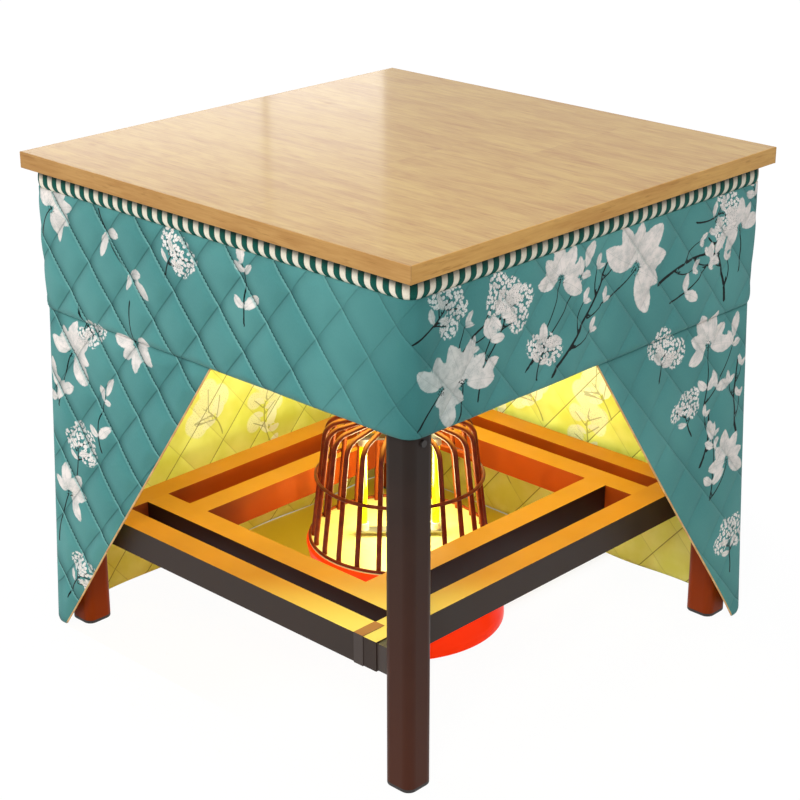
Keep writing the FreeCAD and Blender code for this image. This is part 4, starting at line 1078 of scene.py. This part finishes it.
def dress_nodes():
    """Gives every CAD piece that stays its finish."""
    board = wood("board_wood", (210, 171, 88), (176, 122, 46), (150, 90, 30), 0.50)
    band = wood("edge_band_wood", (200, 154, 90), (172, 122, 62), (134, 86, 40), 0.15, 8)
    turned_band = wood("turned_band_wood", (220, 172, 96), (192, 138, 68), (146, 94, 42), 0.15, 8,
                       turned=True)
    # Painted heater light: in each painted_steel the second and third colours are the lit inward faces
    # and tops, and the last the glow near the front corner. The inner rest's darker paint is painted
    # shade in the slot between the rings.
    outer_rest = painted_steel("outer_rest_paint", (50, 38, 32), (180, 72, 9), (206, 132, 36),
                               (250, 222, 104))
    inner_rest = painted_steel("inner_rest_paint", (38, 15, 8), (180, 72, 9), (210, 138, 38),
                               (250, 222, 104))
    hidden_steel = painted_steel("frame_paint", (62, 52, 47), (96, 66, 44), (70, 58, 52))
    dressed = (
        (board, ("tabletop_board",)),
        (band, ("edge_band_front_left", "edge_band_back_right")),
        (turned_band, ("edge_band_front_right", "edge_band_back_left")),
        (leg_paint(), [f"leg_{corner}" for corner in CORNERS]),
        (hidden_steel, ["corner_plates"] + [f"apron_{side}" for side in SIDES]),
        (outer_rest, [f"rest_outer_{side}" for side in SIDES]),
        (inner_rest, [f"rest_inner_{side}" for side in SIDES]),
        (moulded("black_plastic", (38, 33, 31)),
         ("feet", "leg_bolt", "rotary_switch", "switch_knob", "tip_switch", "cord_gland")),
        (moulded("brown_plastic", (56, 44, 38)), ("rest_connectors",)),
        (bright_steel("zinc_plate", (176, 176, 172)), ("rest_screws", "switch_bezel")),
        (painted_steel("strap_paint", (70, 60, 56), (110, 60, 26), (170, 104, 40)), ("rest_straps",)),
        (bright_steel("plate_steel", (150, 148, 143), 0.4),
         ("base_plate", "tube_holder_lower", "tube_holder_upper")),
        (cage_copper(), ("cage_wires", "cage_foot_ring", "cage_middle_ring", "cage_hub")),
        (ceramic(), ("tube_caps",)),
        (red_enamel(), ("base_shell",)),
        (moulded("black_rubber", (30, 29, 28), 0.75), ("base_feet",)),
        (reflector(), ("deck",)),
        (bright_steel("golden_post", (232, 180, 92), 0.25), ("centre_post",)),
        (moulded("grey_plastic", (120, 118, 114)), ("tip_plunger",)),
        (glowing_quartz(), [f"heating_tube_{number}" for number in range(1, 5)]))
    for material, names in dressed:
        for name in names:
            mesh = nodes[name].data
            mesh.materials.clear()
            mesh.materials.append(material)


# Stage, lamps and camera

def add_lamp(name, kind, energy, colour, place, target=None, size=0.1, **settings):
    data = bpy.data.lights.new(name, kind)
    data.energy = energy
    data.color = colour
    if kind == "AREA":
        data.shape = "RECTANGLE"
        data.size, data.size_y = size
    else:
        data.shadow_soft_size = size
    for setting, value in settings.items():
        setattr(data, setting, value)
    lamp = add_object(name, data)
    lamp.location = place
    if target is not None:
        direction = Vector(target) - Vector(place)
        lamp.rotation_euler = direction.to_track_quat("-Z", "Y").to_euler()
    return lamp


def seen(nodes):
    """1 for what the camera sees, in mirrors and through glass too."""
    camera, mirrored, through = (nodes.add("LightPath", {}, {}, f"Is {ray} Ray")
                                 for ray in ("Camera", "Glossy", "Transmission"))
    return camera.most(mirrored).most(through)


def past_back_hem(x, y):
    """How far a place on the floor lies past the hem of the skirt's back sides."""
    over = ((x.size() - STRAIGHT).most(0).power(2)
            + (y.size() - STRAIGHT).most(0).power(2)).root()
    on_right = (x + y) > 0
    local = -(on_right * x + (1 - on_right) * y)
    folds = (local * (2 * math.pi / FOLD_WIDE) + 3 - on_right).wave() + 1
    folds = folds * (1 - local.size().eased(SIDE_RUN / 2 - 0.05, SIDE_RUN / 2)) * FOLD_DEEP
    return over - folds - (SKIRT_MIDDLE + SKIRT_FLARE + SKIRT_SPREAD)


def add_stage():
    """A white floor that keeps the table's shadow, with the heater's light painted golden on it under
    the table, and a white surround.
    """
    bm = bmesh.new()
    bmesh.ops.create_grid(bm, x_segments=1, y_segments=1, size=12)
    floor = object_of("floor", bm)
    finish = Finish("white_floor", Roughness=0.9)
    x, y, _ = finish.place()
    past_hem = past_back_hem(x, y)
    away = x.eased(0.00, 0.14).most((-y).eased(0.02, 0.16)).most(past_hem.eased(0.006, 0.060))
    reach = (x * x + y * y).root()
    # Painted pool of the heater's light: golden inside the table's skirts.
    inside = (1 - x.eased(-0.10, 0.12)) * (1 - past_hem.eased(-0.0002, 0.0012))
    finish.set(Base_Color=finish.between(inside, (233, 233, 233), (238, 204, 70)))
    white = finish.add("Emission", {}, {"Color": (1, 1, 1, 1), "Strength": 1.02})
    lit = Value(finish, finish.surface.outputs[0])
    share = seen(finish) * away * (reach.eased(0.62, 0.95) * 0.055 + 0.945)
    mixed = finish.add("MixShader", {}, {0: share, 1: lit, 2: white})
    finish.feed(finish.tree.nodes["Material Output"].inputs["Surface"], mixed)
    floor.data.materials.append(finish.material)

    world = bpy.data.worlds.new("surround")
    bpy.context.scene.world = world
    world.use_nodes = True
    sky = Nodes(world.node_tree)
    background = world.node_tree.nodes["Background"]
    sky.feed(background.inputs["Color"], (1, 1, 1, 1))
    sky.feed(background.inputs["Strength"], seen(sky) * 0.65 + 0.38)


def window_place(azimuth, elevation):
    """A place of the window that the tabletop mirrors, seen from the camera's mirror image."""
    turn = math.radians(azimuth)
    return (EYE_X - WINDOW_AWAY * math.sin(turn), EYE_Y + WINDOW_AWAY * math.cos(turn),
            MIRRORED_EYE_Z + WINDOW_AWAY * math.tan(math.radians(elevation)))


def add_lamps():
    white = (1.0, 0.985, 0.965)
    warm = (0.95, 0.94, 0.52)
    studio = (add_lamp("key", "AREA", 88, white, (1.9, -2.7, 3.3), (0, 0, 0.5), (1.3, 1.3)),
              add_lamp("left_fill", "AREA", 38, white, (-2.9, -1.9, 1.5), (-0.2, 0, 0.4), (1.8, 1.8)),
              add_lamp("overhead", "AREA", 16, white, (0, 0, 3.6), (0, 0, 0.7), (2.4, 2.4)))
    for lamp in studio:
        # The glossy top mirrors the window panes alone
        lamp.visible_glossy = False
    for pane, azimuth, width in (("left", 52.85, 1.25), ("right", 45.85, 0.42)):
        for row, low, high, power in ((0, 8.0, 13.6, 6.4), (1, 13.6, 14.6, 4.6), (2, 14.6, 15.6, 3.2),
                                      (3, 15.6, 16.8, 1.8), (4, 16.8, 18.2, 0.9)):
            tall = WINDOW_AWAY * (math.tan(math.radians(high)) - math.tan(math.radians(low)))
            add_lamp(f"window_{pane}_{row}", "AREA", power * width * tall, white,
                     window_place(azimuth, (low + high) / 2), (EYE_X, EYE_Y, 1.6), (width, tall))
    add_lamp("glow_inside", "POINT", 2.2, warm, (0, 0, 0.24), None, 0.045)
    add_lamp("glow_above", "POINT", 4.5, warm, (0, 0, 0.60), None, 0.16)
    add_lamp("glow_back", "POINT", 0.7, warm, (-0.06, 0.18, 0.36), None, 0.06)


def add_camera():
    data = bpy.data.cameras.new("view")
    data.lens = 87.64
    data.sensor_width = 36
    camera = add_object("view", data)
    camera.location = (EYE_X, EYE_Y, EYE_Z)
    camera.rotation_euler = (math.radians(90 - 21.95), 0, math.radians(43.65))
    bpy.context.scene.camera = camera


design = lay_out_print()
teal_cloth = printed_cloth()
cover_materials = [teal_cloth, lining(), teal_cloth]
dress_nodes()
make_header(cover_materials)
make_valance(design, [teal_cloth] * 3)
make_top_sheet(cover_materials)
make_piping()
for side in SIDES:
    make_skirt(side, design, cover_materials)
add_stage()
add_lamps()
add_camera()
bpy.context.scene.view_settings.view_transform = "Standard"
